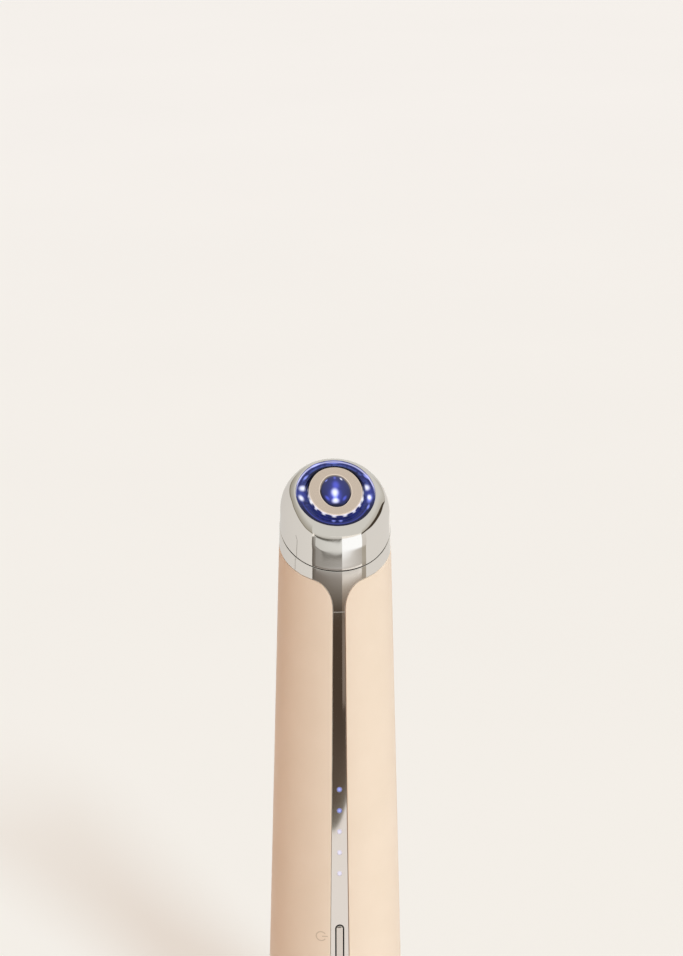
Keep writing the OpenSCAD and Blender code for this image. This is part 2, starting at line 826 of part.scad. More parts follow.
module inner_electrode() {
    color([0.80, 0.74, 0.68])
    in_head() difference() {
        union() {
            oval_pillar(electrode_a, insulator_seat, electrode_top - electrode_edge);
            oval_pillar(electrode_a - electrode_edge, electrode_top - electrode_edge, electrode_top);
        }
        oval_pillar(electrode_a - skirt_t, insulator_seat - cut, electrode_under);
        oval_pillar(lens_a + lens_gap, electrode_under - cut, electrode_top + cut);
    }
}

module centre_lens() {
    dome_h = electrode_top + lens_rise - lens_edge_z;
    color([0.10, 0.16, 0.75])
    in_head() {
        oval_pillar(lens_flange_a, electrode_under - lens_flange_t, electrode_under);
        oval_pillar(lens_a, electrode_under, lens_edge_z);
        hull() for (i = [0 : dome_steps]) {
            t = i * 90 / dome_steps;
            translate([0, head_shift, lens_edge_z - slice + dome_h * sin(t)])
                linear_extrude(height = slice)
                oval(lens_tip_a + (lens_a - lens_tip_a) * cos(t), $fn = 40);
        }
    }
}

module head_carrier() {
    color([0.16, 0.16, 0.17])
    difference() {
        in_head() difference() {
            oval_pillar(carrier_a, carrier_z, carrier_top, carrier_shift);
            at_head_screws() translate([0, 0, carrier_z - cut])
                cylinder(r = screw_r + screw_play, h = carrier_t + 2 * cut);
        }
        wire_window();
    }
}

module wire_window() {
    m = wire_r + wire_gap;
    translate([-wire_x - m, wire_y - m, seam_z - carrier_top])
        cube([2 * (wire_x + m), 2 * m, 4 * carrier_top]);
}

module led_board() {
    color([0.85, 0.86, 0.84])
    in_head() difference() {
        oval_pillar(led_board_a, carrier_top, led_z, board_shift);
        at_head_screws() translate([0, 0, carrier_z])
            cylinder(r = screw_head_r + nest_gap, h = carrier_t + led_board_t + cut);
    }
}

// A pair of lights at each quarter of the ring.
module ring_leds() {
    color([0.95, 0.93, 0.80])
    in_head() translate([0, head_shift, led_z]) {
        for (s = [-1, 1], t = [-1, 1]) {
            translate([s * led_row_a - ring_led_w / 2, t * ring_led_pitch - ring_led_l / 2, 0])
                cube([ring_led_w, ring_led_l, ring_led_h]);
            translate([t * ring_led_pitch - ring_led_l / 2, s * led_side_y - ring_led_w / 2, 0])
                cube([ring_led_l, ring_led_w, ring_led_h]);
        }
    }
}

module centre_led() {
    color([0.95, 0.93, 0.80])
    in_head() translate([-centre_led_s / 2, head_shift - centre_led_s / 2, led_z])
        cube([centre_led_s, centre_led_s, centre_led_h]);
}

module contact_pins() {
    color([0.85, 0.70, 0.35])
    in_head() for (s = [-1, 1]) {
        translate([s * outer_pin_x, board_shift, led_z])
            cylinder(r = outer_pin_r, h = outer_pin_top - led_z);
        translate([s * inner_pin_x, head_shift, led_z])
            cylinder(r = inner_pin_r, h = electrode_under - led_z);
    }
}

module head_screws() {
    color([0.70, 0.70, 0.72])
    in_head() at_head_screws() {
        translate([0, 0, carrier_top]) cylinder(r = screw_head_r, h = screw_head_h);
        translate([0, 0, carrier_top - screw_l]) cylinder(r = screw_r, h = screw_l);
    }
}

module front_strip() {
    color([0.78, 0.76, 0.74])
    difference() {
        intersection() {
            layer(strip_sink, strip_sink + trim_t, strip_end_z - 2 * strip_end_w, tail_end_z + cut);
            from_front() strip_outline(0);
        }
        from_front() button_pill(button_gap);
        from_front() dots(dot_r + dot_play);
    }
}

module indicator_pipes() {
    bar_in = wall + dot_bar_gap;
    z0 = dot_top_z - (dot_n - 1) * dot_pitch - dot_bar_more;
    z1 = dot_top_z + dot_bar_more;
    color([0.80, 0.88, 1.0])
    union() {
        intersection() {
            layer(bar_in, bar_in + dot_bar_t, z0 - cut, z1 + cut);
            translate([-dot_bar_w, -big, z0]) cube([2 * dot_bar_w, big, z1 - z0]);
        }
        intersection() {
            taper(dot_face, z0, z1);
            translate([0, pin_end, 0]) from_front() dots(dot_r);
        }
    }
}

module indicator_board() {
    color([0.10, 0.32, 0.22])
    difference() {
        translate([-front_board_w, board_front, front_board_z0])
            cube([2 * front_board_w, front_board_t, front_board_z1 - front_board_z0]);
        for (s = [-1, 1], z = front_screw_zs) translate([s * small_screw_x, 0, z])
            rotate([90, 0, 0]) cylinder(r = small_screw_r + screw_play, h = big);
    }
}

module indicator_leds() {
    color([0.95, 0.93, 0.80])
    for (i = [0 : dot_n - 1])
        translate([-dot_led_s / 2, board_front - dot_led_h,
            dot_top_z - i * dot_pitch - dot_led_s / 2]) cube([dot_led_s, dot_led_h, dot_led_s]);
}

module tact_switch() {
    color([0.12, 0.12, 0.13])
    difference() {
        translate([-switch_s / 2, switch_front, button_z - switch_s / 2])
            cube([switch_s, switch_d, switch_s]);
        translate([0, switch_front + plunger_hole_d, button_z]) rotate([90, 0, 0])
            cylinder(r = plunger_hole_r, h = plunger_hole_d + cut);
    }
}

module switch_plunger() {
    color([0.85, 0.85, 0.85])
    translate([0, switch_front + plunger_in, button_z]) rotate([90, 0, 0])
        cylinder(r = plunger_r, h = plunger_in + plunger_out);
}

module power_button() {
    z0 = button_z - button_l - flange_over - cut;
    z1 = button_z + button_l + flange_over + cut;
    color([0.72, 0.70, 0.68])
    union() {
        intersection() {
            layer(strip_sink - button_rise, flange_in + flange_t, z0, z1);
            from_front() button_pill(0);
        }
        intersection() {
            layer(flange_in, flange_in + flange_t, z0, z1);
            from_front() button_pill(flange_over);
        }
        translate([0, plunger_tip, button_z]) rotate([90, 0, 0])
            cylinder(r = button_boss_r, h = button_frame_r - flange_in - flange_t / 2 + plunger_tip);
    }
}

module plate(z) {
    translate([0, 0, z]) cylinder(r = body_r(z + plate_t) - wall - plate_gap, h = plate_t);
}

module chassis() {
    slot_w = main_board_w + slot_play;
    color([0.22, 0.22, 0.24])
    difference() {
        union() {
            plate(plate_low_z);
            plate(plate_mid_z);
            plate(plate_top_z);
            for (s = [-1, 1]) translate([(s < 0 ? -rail_out : rail_in), 0, plate_low_z]) {
                translate([0, board_back, 0])
                    cube([rail_out - rail_in, main_front - board_back, rail_step_z - plate_low_z]);
                translate([0, -rail_top_y, 0])
                    cube([rail_out - rail_in, main_front + rail_top_y, plate_top_z - plate_low_z]);
            }
            for (z = [low_top, plate_mid_z - cup_h]) translate([0, cell_y, z])
                cylinder(r = cell_r + cell_play + cup_wall, h = cup_h);
        }
        // room for the indicator board in front
        translate([-big / 2, -big, low_top]) cube([big, big + board_back, plate_top_z - low_top]);
        // room for the cell
        translate([0, cell_y, low_top]) cylinder(r = cell_r + cell_play, h = plate_mid_z - low_top);
        // room for the main board and the battery wires
        translate([-slot_w, main_front, low_top])
            cube([2 * slot_w, main_board_t + slot_back, plate_top_z - low_top - cut]);
        // room for the head's wires
        translate([0, wire_y, plate_top_z - cut]) cylinder(r = wire_hole_r, h = plate_t + 2 * cut);
        // screw holes of the two boards
        for (s = [-1, 1], z = front_screw_zs) translate([s * small_screw_x, 0, z]) rotate([90, 0, 0])
            translate([0, 0, -(board_front + small_screw_l + small_hole_more)])
            cylinder(r = small_screw_r + screw_play, h = small_screw_l + small_hole_more);
        for (s = [-1, 1], z = main_screw_zs) translate([s * small_screw_x, 0, z]) rotate([90, 0, 0])
            translate([0, 0, -main_back])
            cylinder(r = small_screw_r + screw_play, h = small_screw_l + small_hole_more);
    }
}

module main_board() {
    color([0.08, 0.28, 0.20])
    difference() {
        translate([-main_board_w, main_front, low_top])
            cube([2 * main_board_w, main_board_t, main_board_z1 - low_top]);
        for (s = [-1, 1], z = main_screw_zs) translate([s * small_screw_x, main_back + cut, z])
            rotate([90, 0, 0])
            cylinder(r = small_screw_r + screw_play, h = main_board_t + 2 * cut);
    }
}

module board_chips() {
    color([0.10, 0.10, 0.11])
    translate([0, main_back, 0]) {
        translate([-chip_s / 2, 0, chip_z - chip_s / 2]) cube([chip_s, chip_h, chip_s]);
        for (s = [-1, 1]) translate([s * driver_x - driver_s / 2, 0, driver_z - driver_s / 2])
            cube([driver_s, chip_h, driver_s]);
        for (i = [-1 : 1]) translate([i * cap_pitch - cap_w / 2, 0, cap_z - cap_l / 2])
            cube([cap_w, chip_h, cap_l]);
    }
}

module power_inductor() {
    color([0.30, 0.29, 0.28])
    translate([0, main_back + inductor_h, inductor_z]) rotate([90, 0, 0])
        cylinder(r = inductor_r, h = inductor_h);
}

// Core with two arms and a winding between them.
module rf_transformer() {
    color([0.28, 0.26, 0.25])
    translate([-core_w, main_front - core_d, core_z - core_l / 2]) {
        cube([2 * core_w, core_d, core_arm]);
        translate([0, 0, core_l - core_arm]) cube([2 * core_w, core_d, core_arm]);
    }
    color([0.72, 0.42, 0.22])
    translate([0, main_front - core_d / 2, core_z - core_l / 2 + core_arm / 2])
        cylinder(r = coil_r, h = core_l - core_arm);
}

module battery_cell() {
    color([0.25, 0.45, 0.70])
    translate([0, cell_y, low_top]) {
        cylinder(r = cell_r, h = cell_l);
        cylinder(r = cell_cap_r, h = cell_l + cell_cap_h);
    }
}

module battery_leads() {
    reach = cell_y - sqrt(pow(cell_r, 2) - pow(wire_x - wire_r, 2));
    color([0.75, 0.10, 0.10])
    for (s = [-1, 1]) translate([s * wire_x, 0, 0]) {
        translate([0, wire_y, cell_wire_z0]) cylinder(r = wire_r, h = cell_wire_z1 - cell_wire_z0);
        translate([0, wire_y, cell_wire_z0]) sphere(r = wire_r);
        translate([0, wire_y, cell_wire_z1]) sphere(r = wire_r);
        translate([0, wire_y, cell_wire_z1]) rotate([90, 0, 0])
            cylinder(r = wire_r, h = wire_y - main_back);
        translate([0, reach, cell_wire_z0]) rotate([90, 0, 0])
            cylinder(r = wire_r, h = reach - wire_y);
    }
}

module rf_leads() {
    color([0.75, 0.10, 0.10])
    difference() {
        for (s = [-1, 1]) translate([s * wire_x, wire_y, 0]) {
            translate([0, 0, head_wire_z])
                cylinder(r = wire_r, h = seam_z + 2 * carrier_top - head_wire_z);
            translate([0, 0, head_wire_z]) sphere(r = wire_r);
            translate([0, 0, head_wire_z]) rotate([90, 0, 0])
                cylinder(r = wire_r, h = wire_y - main_back);
        }
        above(seam_z + carrier_top / cos(head_tilt), head_tilt);
    }
}

module charge_board() {
    color([0.08, 0.28, 0.20])
    translate([0, 0, charge_board_z]) difference() {
        cylinder(r = charge_board_r, h = charge_board_t);
        for (s = [-1, 1]) translate([s * post_x, 0, -cut])
            cylinder(r = post_r + post_play, h = charge_board_t + 2 * cut);
    }
}

module usb_socket() {
    color([0.75, 0.75, 0.76])
    difference() {
        translate([0, 0, socket_z0]) linear_extrude(height = charge_board_z - socket_z0)
            rotate(90) pill(socket_t, socket_w);
        translate([0, 0, socket_z0 - cut])
            linear_extrude(height = charge_board_z - tongue_root - socket_z0 + cut)
            rotate(90) pill(socket_t - socket_sheet, socket_w - socket_sheet);
    }
}

module socket_tongue() {
    color([0.05, 0.05, 0.05])
    translate([-tongue_w, -tongue_t, charge_board_z - tongue_root - tongue_l])
        cube([2 * tongue_w, 2 * tongue_t, tongue_l]);
}

// Screw with its head above z = 0 and its shank below.
module small_screw() {
    cylinder(r = small_head_r, h = small_head_h);
    translate([0, 0, -small_screw_l]) cylinder(r = small_screw_r, h = small_screw_l);
}

module board_screws() {
    color([0.70, 0.70, 0.72]) {
        for (s = [-1, 1], z = front_screw_zs) translate([s * small_screw_x, board_front, z])
            rotate([90, 0, 0]) small_screw();
        for (s = [-1, 1], z = main_screw_zs) translate([s * small_screw_x, main_back, z])
            rotate([-90, 0, 0]) small_screw();
    }
}

body_shell();
base_cap();
foot_pad();
base_seal();
neck_collar();
neck_seal();
head_shell();
light_ring();
ring_insulator();
inner_electrode();
centre_lens();
head_carrier();
led_board();
ring_leds();
centre_led();
contact_pins();
head_screws();
front_strip();
indicator_pipes();
indicator_board();
indicator_leds();
tact_switch();
switch_plunger();
power_button();
chassis();
main_board();
board_chips();
power_inductor();
rf_transformer();
battery_cell();
battery_leads();
rf_leads();
charge_board();
usb_socket();
socket_tongue();
board_screws();
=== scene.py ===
# %% [markdown]
# # RF facial device
# A standing wand: a tapered plastic handle with a metal strip down its front, and a
# slanted head that carries two electrodes and a ring of blue light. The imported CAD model
# is loaded first as a fixed frame. Every piece made below sits on that frame, in metres,
# and rides on one of its two bodies: the wand itself, or the power button.

# %% Load the frame
from functools import partial
from math import asin, atan2, cos, hypot, pi, radians, sin, sqrt, tan

import bmesh
import bpy
from mathutils import Matrix, Vector


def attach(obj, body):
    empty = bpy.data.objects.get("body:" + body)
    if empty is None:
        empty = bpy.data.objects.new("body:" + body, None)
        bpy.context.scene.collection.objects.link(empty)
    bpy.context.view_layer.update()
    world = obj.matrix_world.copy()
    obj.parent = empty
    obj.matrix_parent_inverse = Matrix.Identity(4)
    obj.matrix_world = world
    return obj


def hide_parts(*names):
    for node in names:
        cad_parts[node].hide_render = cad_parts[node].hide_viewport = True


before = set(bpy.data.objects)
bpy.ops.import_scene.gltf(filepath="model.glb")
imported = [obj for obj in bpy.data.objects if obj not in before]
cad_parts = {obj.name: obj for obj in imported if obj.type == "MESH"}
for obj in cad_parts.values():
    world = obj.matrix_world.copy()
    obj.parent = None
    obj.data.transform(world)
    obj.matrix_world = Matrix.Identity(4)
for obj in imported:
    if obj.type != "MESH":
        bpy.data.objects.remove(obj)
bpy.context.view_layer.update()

# %% [markdown]
# ## Camera
# The photograph looks down on the slanted head from the front, about 16 degrees above
# level and 4 degrees to one side. A long lens, 0.86 m away, keeps the tall wand almost
# free of perspective. The camera could be aimed with a Track To constraint, but a matrix
# built from its right, up and forward directions says exactly where it stands.

# %% Camera
eye = Vector((-0.0581, -0.8248, 0.4156))
ahead = Vector((0.06959, 0.95874, -0.27564)).normalized()
sensor_mm, focal_mm = 36, 120.5
nearest_m, farthest_m = 0.01, 50
right = ahead.cross(Vector((0, 0, 1))).normalized()
up = right.cross(ahead)
lens_data = bpy.data.cameras.new("camera")
lens_data.sensor_fit, lens_data.sensor_height, lens_data.lens = "VERTICAL", sensor_mm, focal_mm
lens_data.clip_start, lens_data.clip_end = nearest_m, farthest_m
camera = bpy.data.objects.new("camera", lens_data)
camera.matrix_world = Matrix.Translation(eye) @ Matrix((right, up, -ahead)).transposed().to_4x4()
bpy.context.scene.collection.objects.link(camera)
bpy.context.scene.camera = camera
print("camera", [round(c, 3) for c in camera.location], "lens", lens_data.lens)

# %% [markdown]
# ## Colours and nodes
# A colour read from a screen is sRGB, while shaders work in linear light, so `rgb`
# converts it once. `surface` starts a material and returns it with its shader. The other
# helpers each add one kind of node and return its socket, so that a look can be written
# as a few nested lines. The same nodes could be drawn in the editor, but text is easier
# to compare.

# %% Node helpers
def rgb(r, g, b):
    return tuple((c / 255 / 12.92) if c < 10 else ((c / 255 + 0.055) / 1.055) ** 2.4
                 for c in (r, g, b)) + (1.0,)


def surface(name, colour, rough, metal=0.0, **more):
    made = bpy.data.materials.new(name)
    made.use_nodes = True
    shader = made.node_tree.nodes["Principled BSDF"]
    values = {"Base Color": colour, "Roughness": rough, "Metallic": metal}
    values.update({k.replace("_", " "): v for k, v in more.items()})
    for socket, value in values.items():
        shader.inputs[socket].default_value = value
    return made, shader


def node(made, kind, values=(), **settings):
    n = made.node_tree.nodes.new(kind)
    for k, v in settings.items():
        setattr(n, k, v)
    for k, v in dict(values).items():
        n.inputs[k].default_value = v
    return n


def join(made, out, into):
    made.node_tree.links.new(out, into)


def maths(made, how, first, second=0.0, third=0.0):
    """One Math node on values that are each a number or a socket."""
    n = node(made, "ShaderNodeMath", operation=how)
    for socket, value in zip(n.inputs, (first, second, third)):
        if isinstance(value, (int, float)):
            socket.default_value = value
        else:
            join(made, value, socket)
    return n.outputs[0]


def spread(made, value, low, high, start=0.3, end=0.7):
    """Maps a value from start..end to low..high, and holds it there beyond."""
    n = node(made, "ShaderNodeMapRange", {1: start, 2: end, 3: low, 4: high})
    join(made, value, n.inputs[0])
    return n.outputs[0]


def blend(made, share, first, second, how="MIX"):
    """Mixes or adds two colours, each a colour or a socket."""
    mix = node(made, "ShaderNodeMix", data_type="RGBA", blend_type=how)
    join(made, share, mix.inputs[0])
    for socket, colour in ((mix.inputs[6], first), (mix.inputs[7], second)):
        if isinstance(colour, tuple):
            socket.default_value = colour
        else:
            join(made, colour, socket)
    return mix.outputs[2]


def tools(made):
    """spread, blend and maths for one material, which then needn't be named each time."""
    return [partial(helper, made) for helper in (spread, blend, maths)]


def object_axes(made):
    """The x, y and z of the place on the object, in metres."""
    axes = node(made, "ShaderNodeSeparateXYZ")
    join(made, node(made, "ShaderNodeTexCoord").outputs["Object"], axes.inputs[0])
    return axes.outputs


print("mid grey in linear light:", [round(c, 3) for c in rgb(128, 128, 128)[:3]])

# %% [markdown]
# ## Uneven surfaces
# No moulded or machined surface is perfectly even. `grain` adds a fine bump and a gloss
# that drifts a little, and `shades` lets the colour drift between two close tones. A
# picture of a texture would need an unwrapped mesh. Noise on Object coordinates needs
# none, and stays fixed to the piece when the camera or the piece moves.

# %% Noise, grain and shades
def noise(made, size_mm, detail=3.0):
    """Noise whose lumps are about size_mm wide, read from Object coordinates."""
    place = node(made, "ShaderNodeTexCoord")
    scale = node(made, "ShaderNodeMapping", {"Scale": [1000 / size_mm] * 3})
    lumps = node(made, "ShaderNodeTexNoise", {"Scale": 1.0, "Detail": detail})
    join(made, place.outputs["Object"], scale.inputs["Vector"])
    join(made, scale.outputs[0], lumps.inputs["Vector"])
    return lumps.outputs["Fac"]


def grain(made, shader, size_mm, height_mm, rough, patch_mm=6.0):
    """Fine bump of one size, and gloss that drifts between the two rough values."""
    bump = node(made, "ShaderNodeBump", {"Strength": 1.0, "Distance": height_mm / 1000})
    join(made, noise(made, size_mm), bump.inputs["Height"])
    join(made, bump.outputs[0], shader.inputs["Normal"])
    join(made, spread(made, noise(made, patch_mm), *rough), shader.inputs["Roughness"])


def shades(made, shader, dark, light, size_mm):
    """Colour that drifts softly between two close tones."""
    drift = blend(made, spread(made, noise(made, size_mm), 0, 1), dark, light)
    join(made, drift, shader.inputs["Base Color"])


print("grain and shades ready")

# %% [markdown]
# ## Printed sign
# Beside the button the handle carries the usual on-off sign: a ring that is open on one
# side, and a bar in the opening. On the real shell it is printed ink without any height.
# It could be a thin mesh laid on the shell, but at grazing angles that shows its edge. So
# the ink is a change of the shell's colour where the sign's formula holds.

# %% Ink of the sign
def print_mark(made, shader, middle, radius, stroke, ink):
    """Prints the sign on the front, its bar to the right. Sizes and place in mm."""
    ramp, paint, calc = tools(made)
    across_m, deep_m, up_m = object_axes(made)
    bar_middle, bar_half, mouth_slope, front_m = radius * 0.8, radius * 0.6, 1.6, -0.005
    x = calc("SUBTRACT", calc("MULTIPLY", across_m, 1000), middle[0])
    z = calc("SUBTRACT", calc("MULTIPLY", up_m, 1000), middle[1])
    away = calc("POWER", calc("ADD", calc("POWER", x, 2), calc("POWER", z, 2)), 0.5)
    off_ring = calc("ABSOLUTE", calc("SUBTRACT", away, radius))
    off_level = calc("ABSOLUTE", z)
    off_bar = calc("ABSOLUTE", calc("SUBTRACT", x, bar_middle))
    mouth = calc("GREATER_THAN", x, calc("MULTIPLY", off_level, mouth_slope))
    ring = calc("MULTIPLY", calc("LESS_THAN", off_ring, stroke / 2), calc("SUBTRACT", 1, mouth))
    bar = calc("MULTIPLY", calc("LESS_THAN", off_level, stroke / 2),
               calc("LESS_THAN", off_bar, bar_half))
    front = calc("LESS_THAN", deep_m, front_m)
    share = calc("MULTIPLY", calc("MAXIMUM", ring, bar), front)
    bare = shader.inputs["Base Color"].links[0].from_socket
    join(made, paint(share, bare, ink), shader.inputs["Base Color"])


print("sign ready")

# %% [markdown]
# ## Finishes of the outside
# The handle is moulded in a warm satin plastic with a very fine spark texture. Collar,
# head, strip and button are polished plated metal: what they show is the studio around
# them, so their own material only needs a clean gloss. The inner electrode is satin metal.
# Layered car-paint shaders exist, but one Principled shader holds each of these.

# %% Finishes of the outside
looks = {}
looks["shell_plastic"], s = surface("satin_shell", rgb(238, 216, 194), 0.42)
grain(looks["shell_plastic"], s, 0.12, 0.0006, (0.38, 0.47))
shades(looks["shell_plastic"], s, rgb(234, 206, 181), rgb(238, 210, 186), 14)
sign_place, sign_radius, sign_stroke, sign_ink = (-5.1, 52.8), 1.3, 0.32, rgb(210, 180, 154)
print_mark(looks["shell_plastic"], s, sign_place, sign_radius, sign_stroke, sign_ink)

plate = rgb(246, 243, 238)
plated = {  # name, colour, roughness, size and height of the grain in mm, range of gloss
    "chrome_trim": ("plated_collar", plate, 0.04, 0.9, 0.0001, (0.03, 0.06)),
    "outer_electrode": ("plated_head", plate, 0.03, 1.2, 0.0001, (0.02, 0.04)),
    "strip_chrome": ("plated_strip", plate, 0.05, 0.5, 0.0001, (0.04, 0.07)),
    "button_chrome": ("plated_button", rgb(236, 231, 224), 0.1, 0.4, 0.0002, (0.08, 0.12)),
}
for slot, (name, colour, rough, size_mm, height_mm, gloss) in plated.items():
    looks[slot], s = surface(name, colour, rough, 1.0)
    grain(looks[slot], s, size_mm, height_mm, gloss)

looks["inner_electrode"], satin = surface("satin_electrode", rgb(243, 226, 211), 0.3, 1.0)
grain(looks["inner_electrode"], satin, 0.10, 0.0005, (0.26, 0.36), 3)
looks["foot_rubber"], s = surface("foot_rubber", rgb(38, 36, 34), 0.8)
grain(looks["foot_rubber"], s, 0.2, 0.004, (0.7, 0.9))
looks["socket_steel"], s = surface("socket_steel", rgb(196, 196, 198), 0.25, 1.0)
grain(looks["socket_steel"], s, 0.3, 0.0004, (0.2, 0.35), 2)
print("outside finishes:", len(looks))

# %% [markdown]
# ## Blue light
# Ring and lens are clear blue resin over a board of small white lights. Tracing every ray
# through the resin would be slow and noisy, so the light is painted where it comes out:
# each look starts from a deep blue and adds the bright spots one by one. Their places are
# read from the piece itself, in millimetres from the middle of the ovals, with the second
# number along the slant. `oval` is the half width of the oval that passes a point.

# %% Painted light
hot, cool, glare = rgb(244, 246, 255), rgb(132, 142, 222), rgb(30, 34, 96)
deep_blue, black = rgb(8, 10, 44), rgb(3, 3, 5)
lights_round, first_light = 20, radians(210)


def head_place(made):
    """Place on the head, its two numbers, and the half width of the oval there."""
    place = node(made, "ShaderNodeAttribute", attribute_name="place").outputs["Vector"]
    split = node(made, "ShaderNodeSeparateXYZ")
    join(made, place, split.inputs[0])
    oval = node(made, "ShaderNodeAttribute", attribute_name="oval").outputs["Fac"]
    return place, split.outputs[0], split.outputs[1], oval


def spot(made, place, where, size, turn=0.0):
    """1 in the middle of an oval spot, falling smoothly to 0 at its edge."""
    fit = node(made, "ShaderNodeMapping", {
        "Location": (*where, 0), "Rotation": (0, 0, radians(turn)), "Scale": (*size, 1),
    }, vector_type="TEXTURE")
    join(made, place, fit.inputs["Vector"])
    far = node(made, "ShaderNodeVectorMath", operation="LENGTH")
    join(made, fit.outputs[0], far.inputs[0])
    fade = node(made, "ShaderNodeMapRange", {1: 0, 2: 1, 3: 1, 4: 0},
                interpolation_type="SMOOTHERSTEP")
    join(made, far.outputs["Value"], fade.inputs[0])
    return fade.outputs[0]


def glow(made, shader, colour):
    join(made, colour, shader.inputs["Emission Color"])
    shader.inputs["Emission Strength"].default_value = 1.0


def scallops(made, along_head, across_head):
    """A wave round the ovals with a crest over each of the small lights."""
    angle = maths(made, "ARCTAN2", along_head, across_head)
    return maths(made, "SINE", maths(made, "MULTIPLY_ADD", angle, lights_round, first_light))


print("small lights round the ring:", lights_round)

# %% [markdown]
# ## Look of the light ring
# The ring is brightest beside the electrode, where its lights sit close under the resin,
# and dark in front, where one looks down through its depth. Two sizes of noise make the
# resin cloudy. Lines of painted light and shade follow the rim: painted shade in the gap
# and a painted blue highlight on the near side, a painted pale highlight on the far side,
# where the lip beside the insulator lies in painted black shade.

# %% Light ring: cloudy resin and lines along the rim
ring_look, s = surface("blue_light_ring", deep_blue, 0.12, Specular_IOR_Level=0.35)
ramp, paint, calc = tools(ring_look)
place, across_head, along_head, oval = head_place(ring_look)
near_side, far_side = ramp(along_head, 1, 0, -6, -1), ramp(along_head, 0, 1, -1, 4)
tone = paint(ramp(along_head, 0, 1, -9, 12), rgb(28, 36, 84), rgb(66, 82, 150))
tone = paint(ramp(noise(ring_look, 1.8), 0, 0.8, 0.4, 0.6), tone, rgb(34, 40, 108))
tone = paint(ramp(noise(ring_look, 0.9), 0, 0.7, 0.48, 0.62), tone, rgb(16, 20, 62))
# Painted shade in the gap round the rim, and painted highlights along it.
rim_light_and_shade = (  # inner and outer half width, the side it is on, colour
    (9.15, 9.4, near_side, rgb(62, 72, 168)), (9.55, 10.9, near_side, rgb(5, 7, 30)),
    (9.7, 10.2, far_side, rgb(26, 32, 92)), (10.4, 10.9, far_side, rgb(190, 192, 240)))
for start, end, side, colour in rim_light_and_shade:
    line = calc("MULTIPLY", ramp(oval, 0, 1, start, start + 0.15),
                ramp(oval, 1, 0, end - 0.1, end + 0.05))
    tone = paint(calc("MULTIPLY", line, side), tone, colour)
print("lines along the rim:", len(rim_light_and_shade))

# %% Light ring: lights, painted glints on the lip and painted shade on its far side
ring_spots = (  # middle, half width and half length, turn in degrees, light
    ((-8.7, 2.5), (1.6, 1.7), 0, hot), ((-9.3, -1.2), (1.0, 1.9), 20, hot),
    ((8.5, 2.3), (1.4, 1.8), 0, hot), ((9.1, -2.0), (1.1, 2.6), -15, cool),
    ((9.0, -1.4), (0.9, 1.6), 0, hot), ((8.5, -5.0), (0.5, 1.6), -20, cool),
    ((-1.1, -9.9), (0.85, 1.1), 0, cool), ((0.75, -9.9), (0.85, 1.1), 0, cool),
    ((-4.6, 11.4), (2.4, 0.6), 30, cool), ((0.3, 12.1), (3.4, 0.35), 0, cool),
    ((8.6, 6.6), (0.5, 1.8), 35, cool), ((-7.7, 6.6), (0.6, 1.8), -35, cool),
    ((-9.0, 0.6), (2.4, 5.0), 0, glare), ((9.0, 0.6), (2.4, 5.0), 0, glare))
on_floor = ramp(oval, 0, 1, 8.02, 8.1)
for where, size, turn, light in ring_spots:
    share = calc("MULTIPLY", spot(ring_look, place, where, size, turn), on_floor)
    tone = paint(share, tone, light, "ADD")
# Painted reflections of the small lights, in scallops along the near side of the lip.
on_lip = calc("MULTIPLY", ramp(oval, 0.8, 0, 7.68, 7.92), near_side)
painted_lip_glints = ramp(scallops(ring_look, along_head, across_head), 0, 1, 0.1, 1)
tone = paint(calc("MULTIPLY", painted_lip_glints, on_lip), tone, hot)
# Painted shade: on the far side the lip and the ring just outside it are black.
painted_shade_behind = calc("MULTIPLY", ramp(oval, 1, 0, 8.95, 9.25), ramp(along_head, 0, 1, 4, 8))
far_lip_shade = calc("MULTIPLY", ramp(oval, 1, 0, 8.35, 8.6), ramp(along_head, 0, 1, 0, 4))
tone = paint(far_lip_shade, paint(painted_shade_behind, tone, black), black)
glow(ring_look, s, tone)
join(ring_look, ramp(far_lip_shade, 0.35, 0, 0, 1), s.inputs["Specular IOR Level"])
grain(ring_look, s, 0.6, 0.0005, (0.08, 0.16), 3)
looks["light_guide"] = ring_look
print("spots in the ring:", len(ring_spots))

# %% [markdown]
# ## Look of the insulator
# The insulator is matt black. On its near side it catches the light of the ring in small
# scallops, one for each light, that join into a white line round the electrode. Twenty
# real lamps would give this too, at a great cost in noise, so a sine of the angle round
# the head paints them, and widens the line at each crest.

# %% Insulator
black_look, s = surface("black_insulator", rgb(8, 8, 10), 0.3, Specular_IOR_Level=0.1)
ramp, paint, calc = tools(black_look)
place, across_head, along_head, oval = head_place(black_look)
ripple = scallops(black_look, along_head, across_head)
lit = calc("MULTIPLY", ramp(ripple, 0.7, 1, -1, 1), ramp(along_head, 1, 0, -3.5, 2.0))
crest_w = 0.08
inner_edge = calc("MULTIPLY_ADD", ripple, -crest_w, oval)
tone = paint(ramp(inner_edge, 0, 1, 7.5, 7.6), rgb(240, 238, 255), rgb(44, 50, 120))
for where in ((-6.9, -3.4), (6.9, -3.2)):
    tone = paint(spot(black_look, place, where, (1.3, 2.4)), tone, hot)
glow(black_look, s, paint(lit, black, tone))
grain(black_look, s, 0.3, 0.0003, (0.2, 0.32), 2)
looks["insulator_black"] = black_look
print("look:", black_look.name)

# %% [markdown]
# ## Look of the lens
# The lens is a dome of the same blue resin over one strong lamp. The lamp shows twice, as
# itself and mirrored in the lower edge, with a column of light between them and two
# crescents beside it. The edge stays black, because there the dome mirrors its dark seat.

